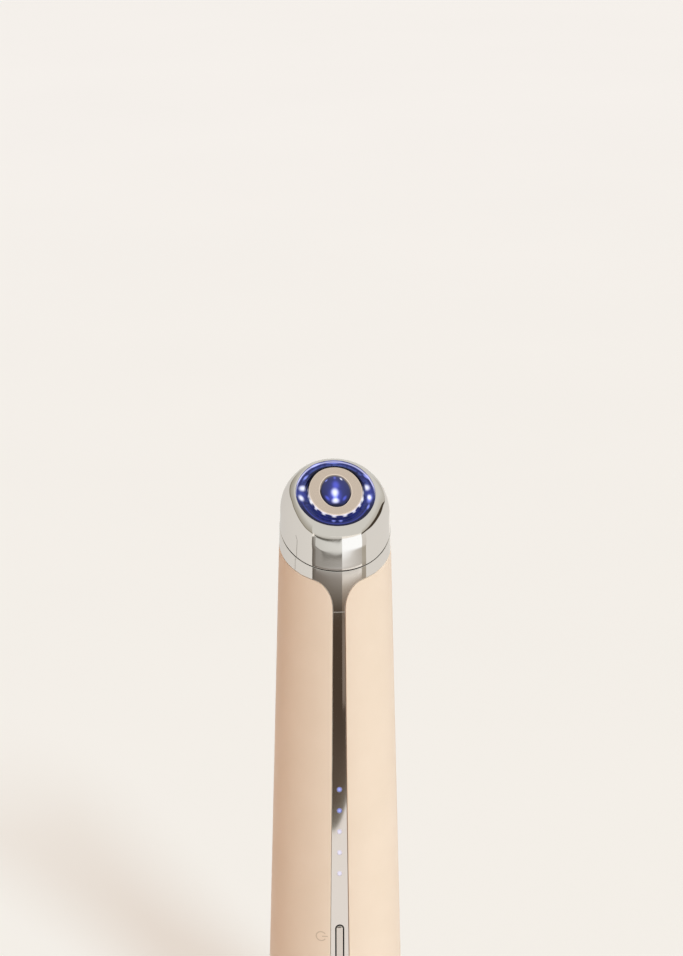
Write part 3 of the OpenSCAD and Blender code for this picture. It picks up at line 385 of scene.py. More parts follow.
# %% Lens
lens_look, s = surface("blue_lens", deep_blue, 0.08, Specular_IOR_Level=0.4)
ramp, paint = tools(lens_look)[:2]
place, _, along_head, oval = head_place(lens_look)
tone = paint(ramp(oval, 0, 1, 1.0, 3.6), rgb(50, 58, 132), rgb(28, 32, 74))
tone = paint(ramp(noise(lens_look, 1.2), 0, 0.5), tone, rgb(40, 46, 96))
crescent = rgb(70, 80, 190)
lens_spots = (  # middle, half width and half length, turn in degrees, light
    ((0.1, 1.6), (1.5, 2.6), 0, rgb(66, 70, 170)), ((-0.3, -1.2), (1.5, 2.4), 0, hot),
    ((-0.3, -4.2), (1.5, 1.4), 0, hot), ((-0.3, -2.9), (1.0, 1.8), 0, cool),
    ((-0.3, -2.4), (2.7, 4.2), 0, rgb(58, 66, 172)), ((-2.4, -3.0), (0.6, 1.7), 28, crescent),
    ((2.2, -3.2), (0.6, 1.7), -28, crescent), ((0.0, 4.6), (0.6, 1.1), 0, rgb(70, 78, 170)),
    ((-2.3, 3.8), (0.4, 0.9), -35, cool), ((1.7, 4.2), (0.45, 0.9), 25, hot))
for where, size, turn, light in lens_spots:
    tone = paint(spot(lens_look, place, where, size, turn), tone, light, "ADD")
tone = paint(ramp(oval, 0, 1, 3.7, 3.95), tone, black)
glow(lens_look, s, paint(ramp(along_head, 1, 0, -5.5, -4.9), tone, black))
grain(lens_look, s, 0.8, 0.0004, (0.05, 0.1), 2)
looks["lens"] = lens_look
print("spots in the lens:", len(lens_spots))

# %% [markdown]
# ## Cut edges of the inner electrode
# Round the rim and round the hole, the satin electrode is cut bright, and both cuts hold a
# thin line of light from any side. The mesh has these small bevels. At this size they are
# under a pixel wide, so a faint glow on them keeps the line from flickering out.

# %% Cut edges
plate_look, none, cut_light = looks["inner_electrode"], rgb(0, 0, 0), rgb(132, 124, 116)
ramp, paint = tools(plate_look)[:2]
oval = head_place(plate_look)[-1]
outer_cut = paint(ramp(oval, 0, 1, 6.93, 7.05), none, cut_light)
glow(plate_look, satin, paint(ramp(oval, 1, 0, 4.42, 4.52), outer_cut, cut_light))
print("look:", plate_look.name)

# %% [markdown]
# ## Look of the indicator pins
# Five clear pins carry the light of the charge lamps to the strip. The upper two shine
# blue, the lower three nearly white. All five are one node, so the material has to find
# them: the height, folded back and forth by half their pitch, gives the distance to the
# nearest pin, and a round spot is drawn there.

# %% Indicator pins
top_dot, dot_pitch, dot_light = 95.4, 6.06, 0.9
pin_look, s = surface("light_pins", rgb(70, 74, 104), 0.25)
ramp, paint, calc = tools(pin_look)
across_m, _, up_m = object_axes(pin_look)
from_dot = node(pin_look, "ShaderNodeCombineXYZ")
join(pin_look, across_m, from_dot.inputs[0])
rise = calc("SUBTRACT", up_m, top_dot / 1000)
join(pin_look, calc("PINGPONG", rise, dot_pitch / 2000), from_dot.inputs[1])
middle = spot(pin_look, from_dot.outputs[0], (0, 0), (dot_light / 1000,) * 2)
lower = ramp(up_m, 1, 0, 0.083, 0.088)
tone = paint(lower, rgb(164, 170, 236), rgb(226, 220, 232))
rim = paint(lower, rgb(66, 74, 140), rgb(206, 198, 204))
glow(pin_look, s, paint(middle, rim, tone))
grain(pin_look, s, 0.3, 0.0004, (0.2, 0.3), 1)
looks["light_pins"] = pin_look
print("look:", pin_look.name)

# %% [markdown]
# ## Finishes of the inside, and dressing the CAD
# The parts inside the handle get plain honest finishes too, since the model can be opened.
# Each is one colour with a slight drift. The CAD meshes keep their shape and place, and
# take these looks through their material slots. The slots are linked to the object and not
# to its mesh, because the mesh belongs to the frame.

# %% Finishes of the inside
inside = {  # sRGB colour, roughness, metal
    "seal_rubber": ((34, 34, 34), 0.7, 0.0),
    "inner_plastic": ((44, 44, 47), 0.55, 0.0),
    "board_white": ((226, 228, 222), 0.45, 0.0),
    "board_green": ((22, 84, 58), 0.35, 0.0),
    "led": ((240, 236, 205), 0.25, 0.0),
    "contact_gold": ((222, 184, 100), 0.2, 1.0),
    "screw_steel": ((176, 176, 178), 0.3, 1.0),
    "switch_black": ((28, 28, 30), 0.5, 0.0),
    "plunger_white": ((222, 222, 220), 0.45, 0.0),
    "chip_black": ((24, 24, 26), 0.6, 0.0),
    "ferrite": ((62, 60, 58), 0.7, 0.0),
    "cell_wrap": ((46, 92, 150), 0.35, 0.0),
    "wire_red": ((168, 24, 20), 0.4, 0.0),
}
darker = 0.93
for slot, (colour, rough, metal) in inside.items():
    looks[slot], s = surface(slot, rgb(*colour), rough, metal)
    grain(looks[slot], s, 0.25, 0.001, (rough * 0.9, min(1, rough * 1.15)), 3)
    shades(looks[slot], s, rgb(*(c * darker for c in colour)), rgb(*colour), 5)
print("inside finishes:", len(inside))

# %% Dress the CAD nodes
for name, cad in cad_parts.items():
    for i, m in enumerate(cad.data.materials):
        slot = m.name.split(".")[0]
        if slot in looks:
            cad.material_slots[i].link = "OBJECT"
            cad.material_slots[i].material = looks[slot]
        else:
            print("no finish for", name, m.name)
print("CAD nodes dressed:", len(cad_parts))

# %% [markdown]
# ## Studio
# A white paper floor in warm room light, with two soft cool lights: one in front, a little to
# the right, and a weaker one from the right side. The paper's own white is partly emitted,
# so the background stays even while the wand still leaves its soft shadow. The lamps
# themselves don't show in the metal: what the polished parts mirror is drawn by the
# screens of the next cells.

# %% Floor of white paper
def stage_mesh(name, bm, made):
    mesh = bpy.data.meshes.new(name)
    bm.to_mesh(mesh)
    bm.free()
    mesh.materials.append(made)
    obj = bpy.data.objects.new(name, mesh)
    bpy.context.scene.collection.objects.link(obj)
    return obj


def seen(made, *rays):
    """1 for the kinds of ray that are named, else 0."""
    path = node(made, "ShaderNodeLightPath")
    total = path.outputs[rays[0]]
    for ray in rays[1:]:
        total = maths(made, "MAXIMUM", total, path.outputs[ray])
    return total


paper, s = surface("paper", rgb(240, 235, 229), 0.9)
shades(paper, s, rgb(239, 235, 229), rgb(241, 237, 231), 200)
near_white, far_white = (0.955, 0.924, 0.874, 1), (0.995, 0.962, 0.948, 1)
own_light, own_share = 1.19, 0.36
distance = spread(paper, object_axes(paper)[1], 0, 1, 0.1, 1.6)
paper_light = node(paper, "ShaderNodeEmission", {"Strength": own_light})
join(paper, blend(paper, distance, near_white, far_white), paper_light.inputs["Color"])
direct = seen(paper, "Is Camera Ray", "Is Glossy Ray", "Is Transmission Ray")
mix = node(paper, "ShaderNodeMixShader")
join(paper, maths(paper, "MULTIPLY", direct, own_share), mix.inputs[0])
join(paper, s.outputs[0], mix.inputs[1])
join(paper, paper_light.outputs[0], mix.inputs[2])
join(paper, mix.outputs[0], paper.node_tree.nodes["Material Output"].inputs["Surface"])

floor_half, floor_drop = 4, 5e-5
bm = bmesh.new()
bmesh.ops.create_grid(bm, x_segments=4, y_segments=4, size=floor_half)
bmesh.ops.translate(bm, verts=bm.verts, vec=(0, 0, -floor_drop))
stage_mesh("floor", bm, paper)
print("floor, metres across:", 2 * floor_half)

# %% World and lamps
room_light = (0.56, 0.40, 0.29, 1)
mirrored_room = tuple(c / p for c, p in zip(rgb(203, 199, 190), plate[:3])) + (1,)
world = bpy.data.worlds.new("studio")
bpy.context.scene.world = world
world.use_nodes = True
room = blend(world, seen(world, "Is Glossy Ray"), room_light, mirrored_room)
join(world, room, world.node_tree.nodes["Background"].inputs["Color"])
sun_width = radians(14)


def soft_sun(name, turn, height, strength, tone):
    """A broad distant light: turn is its direction round from the front, to the right."""
    data = bpy.data.lights.new(name, "SUN")
    data.energy, data.color, data.angle = strength, tone, sun_width
    lamp = bpy.data.objects.new(name, data)
    turn, height = radians(turn), radians(height)
    where = Vector((sin(turn) * cos(height), -cos(turn) * cos(height), sin(height)))
    lamp.matrix_world = (-where).to_track_quat("-Z", "Y").to_matrix().to_4x4()
    lamp.visible_camera = False
    lamp.visible_glossy = False
    bpy.context.scene.collection.objects.link(lamp)


daylight = (0.58, 0.84, 1.0)
soft_sun("front", 24, 35, 2.05, daylight)
soft_sun("side", 74, 35, 1.0, daylight)

# %% [markdown]
# ## Screens that the metal mirrors
# The plated parts are nearly mirrors, so their light and dark zones are a picture of the
# set. Every screen is a strip bent round the wand at 0.4 m, given by heights along a line
# of directions, with a tone at each height. Only reflections see them: they light nothing,
# cast nothing and don't show in the background. One could build the set in full instead,
# but a table, a tent and a camera would say the same with much more geometry.

# %% Bent screens
screen_r = 0.4


def along(points, turn):
    """Height at a direction, on a smoothed line through a few (direction, height) points."""
    total = 0
    for t in (turn - 5, turn - 2.5, turn, turn + 2.5, turn + 5):
        t = max(points[0][0], min(points[-1][0], t))
        (t0, h0), (t1, h1) = next(pair for pair in zip(points, points[1:]) if t <= pair[1][0])
        total += h0 + (h1 - h0) * (t - t0) / (t1 - t0)
    return total / 5


def screen(name, turns, levels, radius=screen_r):
    """turns is a list of directions in degrees, 0 in front and rising to the right.
    Each level is a height in mm, or one height for each turn, and its tone in the metal,
    or two tones that blend from the first direction to the last."""
    made = bpy.data.materials.new(name)
    made.use_nodes = True
    made.node_tree.nodes.remove(made.node_tree.nodes["Principled BSDF"])
    tone = node(made, "ShaderNodeAttribute", attribute_name="tone")
    light = node(made, "ShaderNodeEmission")
    join(made, tone.outputs["Color"], light.inputs["Color"])
    join(made, light.outputs[0], made.node_tree.nodes["Material Output"].inputs["Surface"])
    bm = bmesh.new()
    layer = bm.verts.layers.float_color.new("tone")
    across_n, up_n = len(turns) - 1, len(levels) - 1
    bmesh.ops.create_grid(bm, x_segments=across_n, y_segments=up_n, size=0.5)
    for v in bm.verts:
        i, j = round((v.co.x + 0.5) * across_n), round((v.co.y + 0.5) * up_n)
        height, colour = levels[j]
        height = height[i] if isinstance(height, list) else height
        turn = radians(turns[i])
        v.co = (radius * sin(turn), -radius * cos(turn), height / 1000)
        if isinstance(colour[0], tuple):
            share = i / across_n
            colour = [a + (b - a) * share for a, b in zip(*colour)]
        v[layer] = [c / p for c, p in zip(rgb(*colour), plate)]
    obj = stage_mesh(name, bm, made)
    obj.visible_camera = obj.visible_diffuse = obj.visible_shadow = False
    obj.visible_transmission = obj.visible_volume_scatter = False
    return obj


def even_turns(start, end, step=2.5):
    n = max(1, round((end - start) / step))
    return [start + (end - start) * k / n for k in range(n + 1)]


def raised(line, by):
    return [h + by for h in line]


print("screens stand at", screen_r, "m")

# %% [markdown]
# ## The dark band and the left side
# One dark band rings the whole set: it is high at the sides, and low and thin in front.
# In the head it becomes the dark line that falls from the shoulders towards the seam. Its
# height and half thickness are given at a few directions, and every screen is laid to it.

# %% Dark band
band_height = [
    (-172, 300), (-150, 325), (-129, 425), (-114, 496), (-93, 448), (-80, 354), (-65, 235),
    (-45, 118), (-33, 95), (-22, 81), (-9, 72), (4, 69), (10, 70), (50, 123), (64, 199),
    (80, 257), (92, 301), (105, 316), (118, 304), (127, 235), (128, 235)]
band_half = [(-172, 14), (-65, 14), (-45, 8), (-33, 5), (-22, 3), (-9, 1.7), (10, 1.7),
             (50, 16), (64, 32), (80, 50), (105, 50), (118, 20), (127, 1), (128, 1)]
sky, olive, haze = (203, 199, 190), (116, 108, 90), (158, 151, 137)


def band_lines(turns, *shifts):
    """The band's height at every turn, once for each shift in half thicknesses."""
    return [[along(band_height, t) + k * along(band_half, t) for t in turns] for k in shifts]


print("highest point of the band, mm:", max(h for _, h in band_height))

# %% Left side
side_light = ((203, 197, 189), (213, 207, 198))
turns = even_turns(-150, -50)
foot, core, top = band_lines(turns, -1.4, -0.4, 0.4)
screen("left side", turns, [
    (0, side_light), (foot, side_light), (core, olive), (top, olive),
    (raised(top, 14), haze), (raised(top, 330), sky)])

turns = even_turns(-172, -150)
foot, core, top = band_lines(turns, -1.4, -0.4, 0.4)
screen("left end", turns, [
    (0, (sky, side_light[0])), (foot, (sky, side_light[0])), (core, (sky, olive)),
    (top, (sky, olive)), (raised(top, 14), (sky, haze)), (raised(top, 330), sky)])

post, post_r = (160, 154, 145), 0.398
screen("left post", even_turns(-92.3, -90.7), [(40, post), (84, post)], post_r)
screen("left edge", [-50, -48.5, -46, -42], [
    (0, ((66, 56, 47), (66, 56, 47))), (44, ((80, 72, 62), (98, 90, 80))),
    (54, ((86, 78, 68), (118, 110, 102))), (76, ((92, 84, 74), (150, 145, 137))),
    (112, ((96, 88, 78), (176, 172, 164))), (118, sky)])
print("left screens: side, end, post, edge")

# %% [markdown]
# ## Front and right side
# The tail and the strip look straight at the front, where the table, a pale ledge and the
# dark band lie above each other, and beside it stands a white box that gives the bright
# right half of the collar. Tones that change along a screen are given as pairs. A photo
# of a studio as environment would be quicker, but its edges wouldn't fall where these do.

# %% Front
turns = even_turns(-46, 10)
foot, core, top, above = band_lines(turns, -1, -0.4, 0.6, 1.5)
ledge_height = [(-46, 76), (-43, 72), (-37, 62), (-26, 61), (-13, 62.4), (10, 62.8)]
ledge, ledge_shade, band = [along(ledge_height, t) for t in turns], (112, 107, 99), (88, 84, 75)
screen("front", turns, [
    (0, (70, 57, 46)), (31, (68, 55, 44)), (40, (74, 62, 51)),
    (44, ((90, 80, 70), (98, 88, 77))), (50, ((108, 98, 88), (126, 118, 108))),
    (55, ((116, 107, 98), (146, 137, 128))), (55.6, ((150, 144, 136), (176, 170, 163))),
    (58, ((140, 134, 126), (172, 167, 161))), (raised(ledge, -1.2), (150, 145, 137)),
    (raised(ledge, -0.6), ledge_shade), (raised(ledge, 0.4), ledge_shade),
    (raised(ledge, 1), ((190, 186, 178), (208, 205, 197))),
    (raised(ledge, 2), ((196, 192, 184), (216, 213, 205))),
    (foot, ((198, 195, 187), (218, 215, 208))), (core, band), (top, band),
    (above, (174, 169, 159)), (raised(above, 22), (196, 191, 182)), (raised(above, 70), sky)])

turns = even_turns(10, 51)
top = [along(band_height, t) for t in turns]
white = (252, 251, 248)
screen("white box", turns, [
    (0, (122, 108, 96)), (31, (122, 108, 96)), (40, (112, 98, 84)), (44, (122, 106, 90)),
    (51.6, ((176, 164, 150), (160, 144, 128))), (52.6, ((226, 216, 205), (246, 238, 228))),
    (54.6, ((222, 213, 202), (246, 240, 231))), (55.2, ((196, 190, 182), (172, 164, 154))),
    (60, ((216, 211, 204), (186, 179, 170))), (65, white), (top, white), (raised(top, 2), sky)])
print("front screens: front, white box")

# %% Right side
dusk = (64, 54, 42)
turns = even_turns(51, 61)
foot, core, top, above = band_lines(turns, -1, -0.8, 0.8, 1.1)
screen("right streak", turns, [
    (0, (112, 100, 90)), (44, (140, 126, 110)), (60, (172, 164, 150)), (66, (200, 192, 182)),
    (foot, (208, 202, 193)), (core, dusk), (top, dusk), (above, (176, 169, 155)),
    (raised(above, 120), sky)])

turns = even_turns(61, 150)
foot, core, top, above = band_lines(turns, -1, -0.8, 0.8, 1.1)
screen("right side", turns, [
    (0, (213, 207, 198)), (foot, (212, 206, 198)), (core, dusk), (top, dusk),
    (above, (182, 175, 163)), (raised(above, 160), sky)])
print("right screens: streak, side")

# %% [markdown]
# ## Card on the floor
# The camera looks down at the strip, so the strip mirrors the floor in front of the wand:
# pale paper round the button and the lower lights, and above them a dark card whose edge
# lies at a slant. A plane with a drawn texture would do too, but a screen already carries
# a tone at each point. So the card is a screen of two columns, laid flat row by row.

# %% Floor card
pale, dark = (222, 213, 204), (70, 57, 46)
card = screen("floor card", [-1, 1], [(0, pale), (1, pale), (2, (118, 110, 98)),
                                      (3, (92, 79, 67)), (4, (72, 60, 50)), (5, dark)])
edge_y, card_half, card_z = (-0.233, -0.276), 0.12, 0.0015
for v in card.data.vertices:
    side, row = int(v.co.x > 0), round(v.co.z * 1000)
    y = (-0.03, edge_y[side], edge_y[side] - 0.004, edge_y[side] - 0.03, -0.37, -0.40)[row]
    v.co = ((-card_half, card_half)[side], y, card_z)
print("card's dark edge, left and right, m:", edge_y)

# %% [markdown]
# ## Shapes of the head
# Everything in the head is nested ovals on one slanted axis: the rim, the light ring, the
# insulator, the electrode and the lens are parallel curves of each other. Each oval is
# four arcs that meet smoothly. A piece could be drawn as a curve and lofted, but a lathe
# is simpler: its section is spun about the axis, its corners already rounded, and then
# every point is pressed from the circle to the oval that faces the same way.

# %% Lathe and oval press
MM = 0.001
seam_z, head_tilt = 165.0, radians(28)
oval_end, oval_side = 3.0, 3.76
oval_h = hypot(oval_end, oval_side)
oval_more = oval_end + oval_side - oval_h
head_h, head_shift = 10.05, 2.6
least_reach = 1.2


def lathe(section, turns=144, closed=True):
    """Spins a section of (radius, height, rounding) points about the upright axis."""
    bm = bmesh.new()
    points = [bm.verts.new((p[0], 0, p[1])) for p in section]
    for a, b in zip(points, points[1:] + (points[:1] if closed else [])):
        bm.edges.new((a, b))
    for v, p in zip(points, section):
        if len(p) == 3:
            bmesh.ops.bevel(bm, geom=[v], offset=p[2], offset_type="OFFSET", segments=4,
                            profile=0.5, affect="VERTICES", material=-1)
    bmesh.ops.spin(bm, geom=bm.verts[:] + bm.edges[:], cent=(0, 0, 0), axis=(0, 0, 1),
                   angle=2 * pi, steps=turns, use_merge=True)
    bmesh.ops.remove_doubles(bm, verts=bm.verts, dist=1e-4)
    return bm


def press_oval(bm, fit):
    """Moves each point at radius a to the oval of half width a. The fit of a and height
    says how far back the oval lies and how much longer than usual it is. The place on the
    slant and the half width stay with each point, for the looks that glow."""
    place = bm.verts.layers.float_vector.new("place")
    oval = bm.verts.layers.float.new("oval")
    for v in bm.verts:
        a, turn = hypot(v.co.x, v.co.y), atan2(v.co.y, v.co.x)
        reach = max(a, least_reach)
        back, longer = fit(a, v.co.z)
        c, s = cos(turn), sin(turn)
        if abs(s) * oval_side > abs(c) * oval_end:
            x, y = (reach + oval_side - oval_h) * c, (reach + oval_side - oval_h) * s
            y += oval_end if s > 0 else -oval_end
        else:
            x, y = (reach + oval_side) * c, (reach + oval_side) * s
            x -= oval_side if c > 0 else -oval_side
        v[oval], v[place] = a, (x * a / reach, y * a / reach, 0)
        v.co.x, v.co.y = x * a / reach, y * a / reach * longer + back
    bmesh.ops.rotate(bm, verts=bm.verts, cent=(0, 0, 0), matrix=Matrix.Rotation(head_tilt, 3, "X"))
    bmesh.ops.translate(bm, verts=bm.verts, vec=(0, 0, seam_z))


print("an oval is longer than wide by", round(2 * oval_more, 2), "mm")

# %% [markdown]
# ## Finished pieces on the frame
# Handle, collar and strip are layers of one cone. `piece` sets every new mesh on the frame
# with its finish and body. On the head, Blender's weighted normals shade the small
# roundings well. A sheet on the handle is better shaded with the cone's true normals,
# because the metal mirrors even a tenth of a degree.

# %% Cone and piece
base_r, neck_r = 19.4, 15.0
slope = (base_r - neck_r) / seam_z
skin_play = 0.004


def body_r(z):
    return base_r - slope * z


def outward(p):
    return Vector((p.x, p.y, slope * hypot(p.x, p.y))).normalized()


def cone_normals(mesh, skin):
    """Normals of the cone for the corners on the skin, a depth below the cone's face."""
    normals = []
    for corner in mesh.loops:
        v = mesh.vertices[corner.vertex_index]
        p = v.co / MM
        off_skin = abs(body_r(p.z) - hypot(p.x, p.y) - skin)
        on_skin = off_skin < skin_play and v.normal.dot(outward(p)) > 0.5
        normals.append(outward(p) if on_skin else corner.normal)
    return normals


def piece(name, bm, slot, *stands_for, body="body", skin=None):
    """Makes the finished object, gives it its finish and sets it on the frame. A sheet on
    the handle names the depth of its skin, which is then shaded as the true cone."""
    bmesh.ops.recalc_face_normals(bm, faces=bm.faces)
    bmesh.ops.scale(bm, vec=(MM, MM, MM), verts=bm.verts)
    mesh = bpy.data.meshes.new(name)
    bm.to_mesh(mesh)
    bm.free()
    mesh.shade_smooth()
    mesh.materials.append(looks[slot])
    obj = bpy.data.objects.new(name, mesh)
    bpy.context.scene.collection.objects.link(obj)
    if skin is None:
        obj.modifiers.new("even shading", "WEIGHTED_NORMAL").weight = 80
    else:
        mesh.normals_split_custom_set(cone_normals(mesh, skin))
    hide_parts(*stands_for)
    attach(obj, body)
    low, high = (Vector(f(c[i] for c in obj.bound_box) for i in range(3)) for f in (min, max))
    print(name, len(mesh.polygons), "faces", [round(c * 1000, 2) for c in (*low, *high)])
    return obj


print("cone, mm:", base_r, "to", neck_r)

# %% [markdown]
# ## Head shell
# The outer electrode is a plated cap. Its wall carries the handle's taper straight on past
# the seam, then turns over in one arc to the narrow rim round the blue ring. Because the
# rim is slanted and the wall stands upright, the arc is tighter at the front than at the
# sides. A scaled hemisphere would be simpler, but it would bend the upright lines that the
# metal reflects. The wall is 1.9 mm thick, with a rounded foot above the seam.

# %% Profile of the head
head_wall, rim_a, hole_a = 1.9, 11.0, 10.7
foot_a, foot_front, foot_back = 14.9, 17.15, 16.72
taper = atan2(base_r - neck_r, seam_z)
rim_turn = radians(25)


def arc_to_rim(rim, foot, lean):
    """Radius and middle (reach, height) of the arc between an upright wall and the rim.
    Reach is measured outward, and lean is the wall's angle from the head's own axis."""
    c, s, t = cos(rim_turn), sin(rim_turn), tan(lean)
    r = (foot - rim - head_h * t) / (cos(lean) - s - (c - sin(lean)) * t)
    return r, rim - r * s, head_h - r * c, foot, lean


def wall_at(arc, z, inset):
    """Reach of the wall at a height, set in by a depth."""
    r, reach, middle, foot, lean = arc
    r -= inset
    if z < middle + r * sin(lean):
        return foot - inset / cos(lean) - z * tan(lean)
    return reach + sqrt(max(0.0, r * r - (z - middle) ** 2))


rim_b = rim_a + oval_more
front_arc = arc_to_rim(rim_b - head_shift, foot_front, head_tilt + taper)
back_arc = arc_to_rim(rim_b + head_shift, foot_back, taper - head_tilt)
side_arc = arc_to_rim(rim_a, foot_a, taper)
print("arc radii, front, back, side:", [round(a[0], 2) for a in (front_arc, back_arc, side_arc)])

# %% Head shell
highest = 181.17  # the top of the CAD solid, which the cap may not pass


def head_fit(a, z):
    """Middle and stretch of the oval of half width a at height z of the head shell."""
    if a < hole_a + 0.05:
        return head_shift, 1.0
    inset = 0.0 if a > wall_at(side_arc, z, 0) - head_wall / 2 else head_wall
    front, back = wall_at(front_arc, z, inset), wall_at(back_arc, z, inset)
    return (back - front) / 2, (front + back) / 2 / (wall_at(side_arc, z, inset) + oval_more)


def dome(inset, start, end, steps):
    """Points of the side profile, from the angle start to the angle end."""
    r, reach, middle = side_arc[:3]
    turns = [start + (end - start) * i / steps for i in range(steps + 1)]
    return [(reach + (r - inset) * sin(t), middle + (r - inset) * cos(t)) for t in turns]


inner_start = asin((hole_a - side_arc[1]) / (side_arc[0] - head_wall))
upright = pi / 2 - taper
section = [(foot_a - head_wall, 0.15, 0.1), (foot_a, 0.15, 0.12)]
section += [(wall_at(side_arc, z, 0), z) for z in (1.2, 2.2, 3.2)]
section += dome(0, upright, rim_turn + radians(2), 26)
section += [(rim_a - 0.02, head_h, 0.08), (hole_a, head_h, 0.12)]
section += dome(head_wall, inner_start, upright, 8)
bm = lathe(section, 180)
press_oval(bm, head_fit)
for v in bm.verts:
    v.co.z = min(v.co.z, highest)
piece("head_cap", bm, "outer_electrode", "head_shell")

# %% [markdown]
# ## Light ring, insulator, electrode and lens
# Inside the rim lies a clear blue ring with a raised lip, then a thin black insulator, the
# satin inner electrode and a domed lens in its middle. All four are cut on the same lathe,
# with the small edge breaks that catch a line of light on the real pieces. Names that end
# in a are half widths, the others are heights above the seam, square to the slant.

# %% The four nested pieces
def nested(name, slot, stands_for, section, turns=180, closed=True):
    """Spins, presses and sets one of the pieces inside the rim."""
    bm = lathe(section, turns, closed)
    press_oval(bm, lambda a, z: (head_shift, 1.0))
    piece(name, bm, slot, stands_for)


ring_a, lip_a, ring_hole_a = 10.6, 8.0, 7.65
ring_low, ring_top, lip_top = 5.6, 9.45, 10.35
nested("blue_ring", "light_guide", "light_ring", [
    (ring_a, ring_low), (ring_a, ring_top, 0.25), (lip_a, ring_top, 0.2),
    (lip_a, lip_top, 0.12), (ring_hole_a, lip_top, 0.1), (ring_hole_a, ring_low)])

black_a, black_hole_a, flange_a = 7.6, 7.25, 6.0
black_top, flange_top = 10.65, 6.2
nested("black_ring", "insulator_black", "ring_insulator", [
    (flange_a, ring_low), (black_a, ring_low), (black_a, black_top, 0.08),
    (black_hole_a, black_top, 0.08), (black_hole_a, flange_top), (flange_a, flange_top)], 144)

plate_a, plate_hole_a, skirt_a = 7.2, 4.2, 6.2
plate_top, plate_low = 10.8, 9.2
nested("satin_plate", "inner_electrode", "inner_electrode", [
    (skirt_a, flange_top), (plate_a, flange_top), (plate_a, plate_top, 0.22),
    (plate_hole_a, plate_top, 0.18), (plate_hole_a, plate_low), (skirt_a, plate_low)])

lens_a, lens_foot_a = 4.0, 5.0
lens_low, lens_edge, lens_rise = 8.3, 10.45, 0.95
crown = [(lens_a * cos(radians(t)), lens_edge + lens_rise * sin(radians(t)))
         for t in range(0, 91, 6)]
nested("lens_dome", "lens", "centre_lens", [
    (0, lens_low), (lens_foot_a, lens_low), (lens_foot_a, plate_low),
    (lens_a, plate_low)] + crown, 144, closed=False)

# %% [markdown]
# ## Sheets on the handle
# The handle is a slender cone, and its shell, collar, strip and button are all cut from
# layers of that cone. Each starts as one flat grid, half of it, laid on the cone and
# mirrored. `thicken` then gives it a back and rolls every open edge over with a small
# radius. A Boolean cut would be quicker to write but leaves broken shading on the cone.

# %% Grid on the cone
def on_body(turn, z, depth=0.0):
    """Point of the cone at an angle from the front, a height and a depth."""
    r = body_r(z) - depth
    return Vector((r * sin(turn), -r * cos(turn), z))


def across(x, z, depth=0.0):
    """The angle of the point that lies x beside the middle, seen from the front."""
    return asin(max(-1, min(1, x / (body_r(z) - depth))))


def laid(columns, rows, place):
    """Half a sheet: a grid whose point (i, j) goes to place(i, j), then mirrored."""
    bm = bmesh.new()
    bmesh.ops.create_grid(bm, x_segments=columns, y_segments=rows, size=0.5)
    for v in bm.verts:
        v.co = place(round((v.co.x + 0.5) * columns), round((v.co.y + 0.5) * rows))
    bmesh.ops.remove_doubles(bm, verts=bm.verts, dist=1e-4)
    bmesh.ops.mirror(bm, geom=bm.verts[:] + bm.edges[:] + bm.faces[:], axis="X",
                     matrix=Matrix.Identity(4), merge_dist=1e-4)
    bmesh.ops.remove_doubles(bm, verts=bm.verts, dist=1e-4)
    bmesh.ops.recalc_face_normals(bm, faces=bm.faces)
    return bm


def add(bm, other):
    """Puts a second closed body into the same mesh."""
    part = bpy.data.meshes.new("part")
    other.to_mesh(part)
    other.free()
    bm.from_mesh(part)
    bpy.data.meshes.remove(part)


print("sheets are half grids, mirrored")

# %% Back and rolled edges
def way_out(v):
    """Direction along the sheet, out of its open edge at v, longer at a corner."""
    ways = []
    for e in v.link_edges:
        if e.is_boundary:
            way = (e.verts[1].co - e.verts[0].co).cross(outward(v.co)).normalized()
            middle = (e.verts[0].co + e.verts[1].co) / 2
            if way.dot(middle - e.link_faces[0].calc_center_median()) < 0:
                way.negate()
            ways.append(way)
    return (ways[0] + ways[1]) / (1 + ways[0].dot(ways[1]))


def thicken(bm, depth, edge, steps=3):
    """Gives a sheet a back, depth below it, and rolls its open edges over."""
    rim = [e for e in bm.edges if e.is_boundary]
    start = {v: (v.co.copy(), way_out(v), outward(v.co)) for v in {v for e in rim for v in e.verts}}
    back = bmesh.ops.duplicate(bm, geom=bm.faces[:])["geom"]
    for v in back:
        if isinstance(v, bmesh.types.BMVert):
            v.co -= outward(v.co) * depth
    turns = [radians(90 * i / steps) for i in range(1, steps + 1)]
    path = [(edge * sin(t), edge * (1 - cos(t))) for t in turns]
    path += [(out, depth - down) for out, down in reversed(path)] + [(0, depth)]
    for out, down in path:
        made = bmesh.ops.extrude_edge_only(bm, edges=rim)["geom"]
        fresh = {v for v in made if isinstance(v, bmesh.types.BMVert)}
        moved = {}
        for v in fresh:
            parent = next(e.other_vert(v) for e in v.link_edges if e.other_vert(v) in start)
            moved[v] = start[parent]
        for v, (place, way, face) in moved.items():
            v.co = place + way * out - face * down
        start = moved
        rim = [e for e in made if isinstance(e, bmesh.types.BMEdge)
               and e.verts[0] in fresh and e.verts[1] in fresh]
    bmesh.ops.remove_doubles(bm, verts=bm.verts, dist=2e-3)
    return bm


print("sheets can be thickened")

# %% [markdown]
# ## Neck collar
# The collar is a plated band between two slanted planes. At the front it runs down into a
# narrow tail through two hollow curves, and meets the strip there. Its lower edge is
# whichever lies lower: the slanted plane, or the curve that flares out of the tail. A soft
# minimum joins the two, so that no kink shows where they meet.

# %% Outline of tail and collar
tail_w, tail_fillet, tail_curve_z, tail_end_z = 1.6, 9.0, 146.7, 145.7
collar_z, collar_tilt = 160.3, radians(23.4)
join_soft = 0.9
flare_x = tail_w + tail_fillet


def slanted(turn, z, tilt):
    """Height where a slanted plane through the axis at z cuts the cone."""
    height = z
    for _ in range(4):
        height = z - body_r(height) * cos(turn) * tan(tilt)
    return height


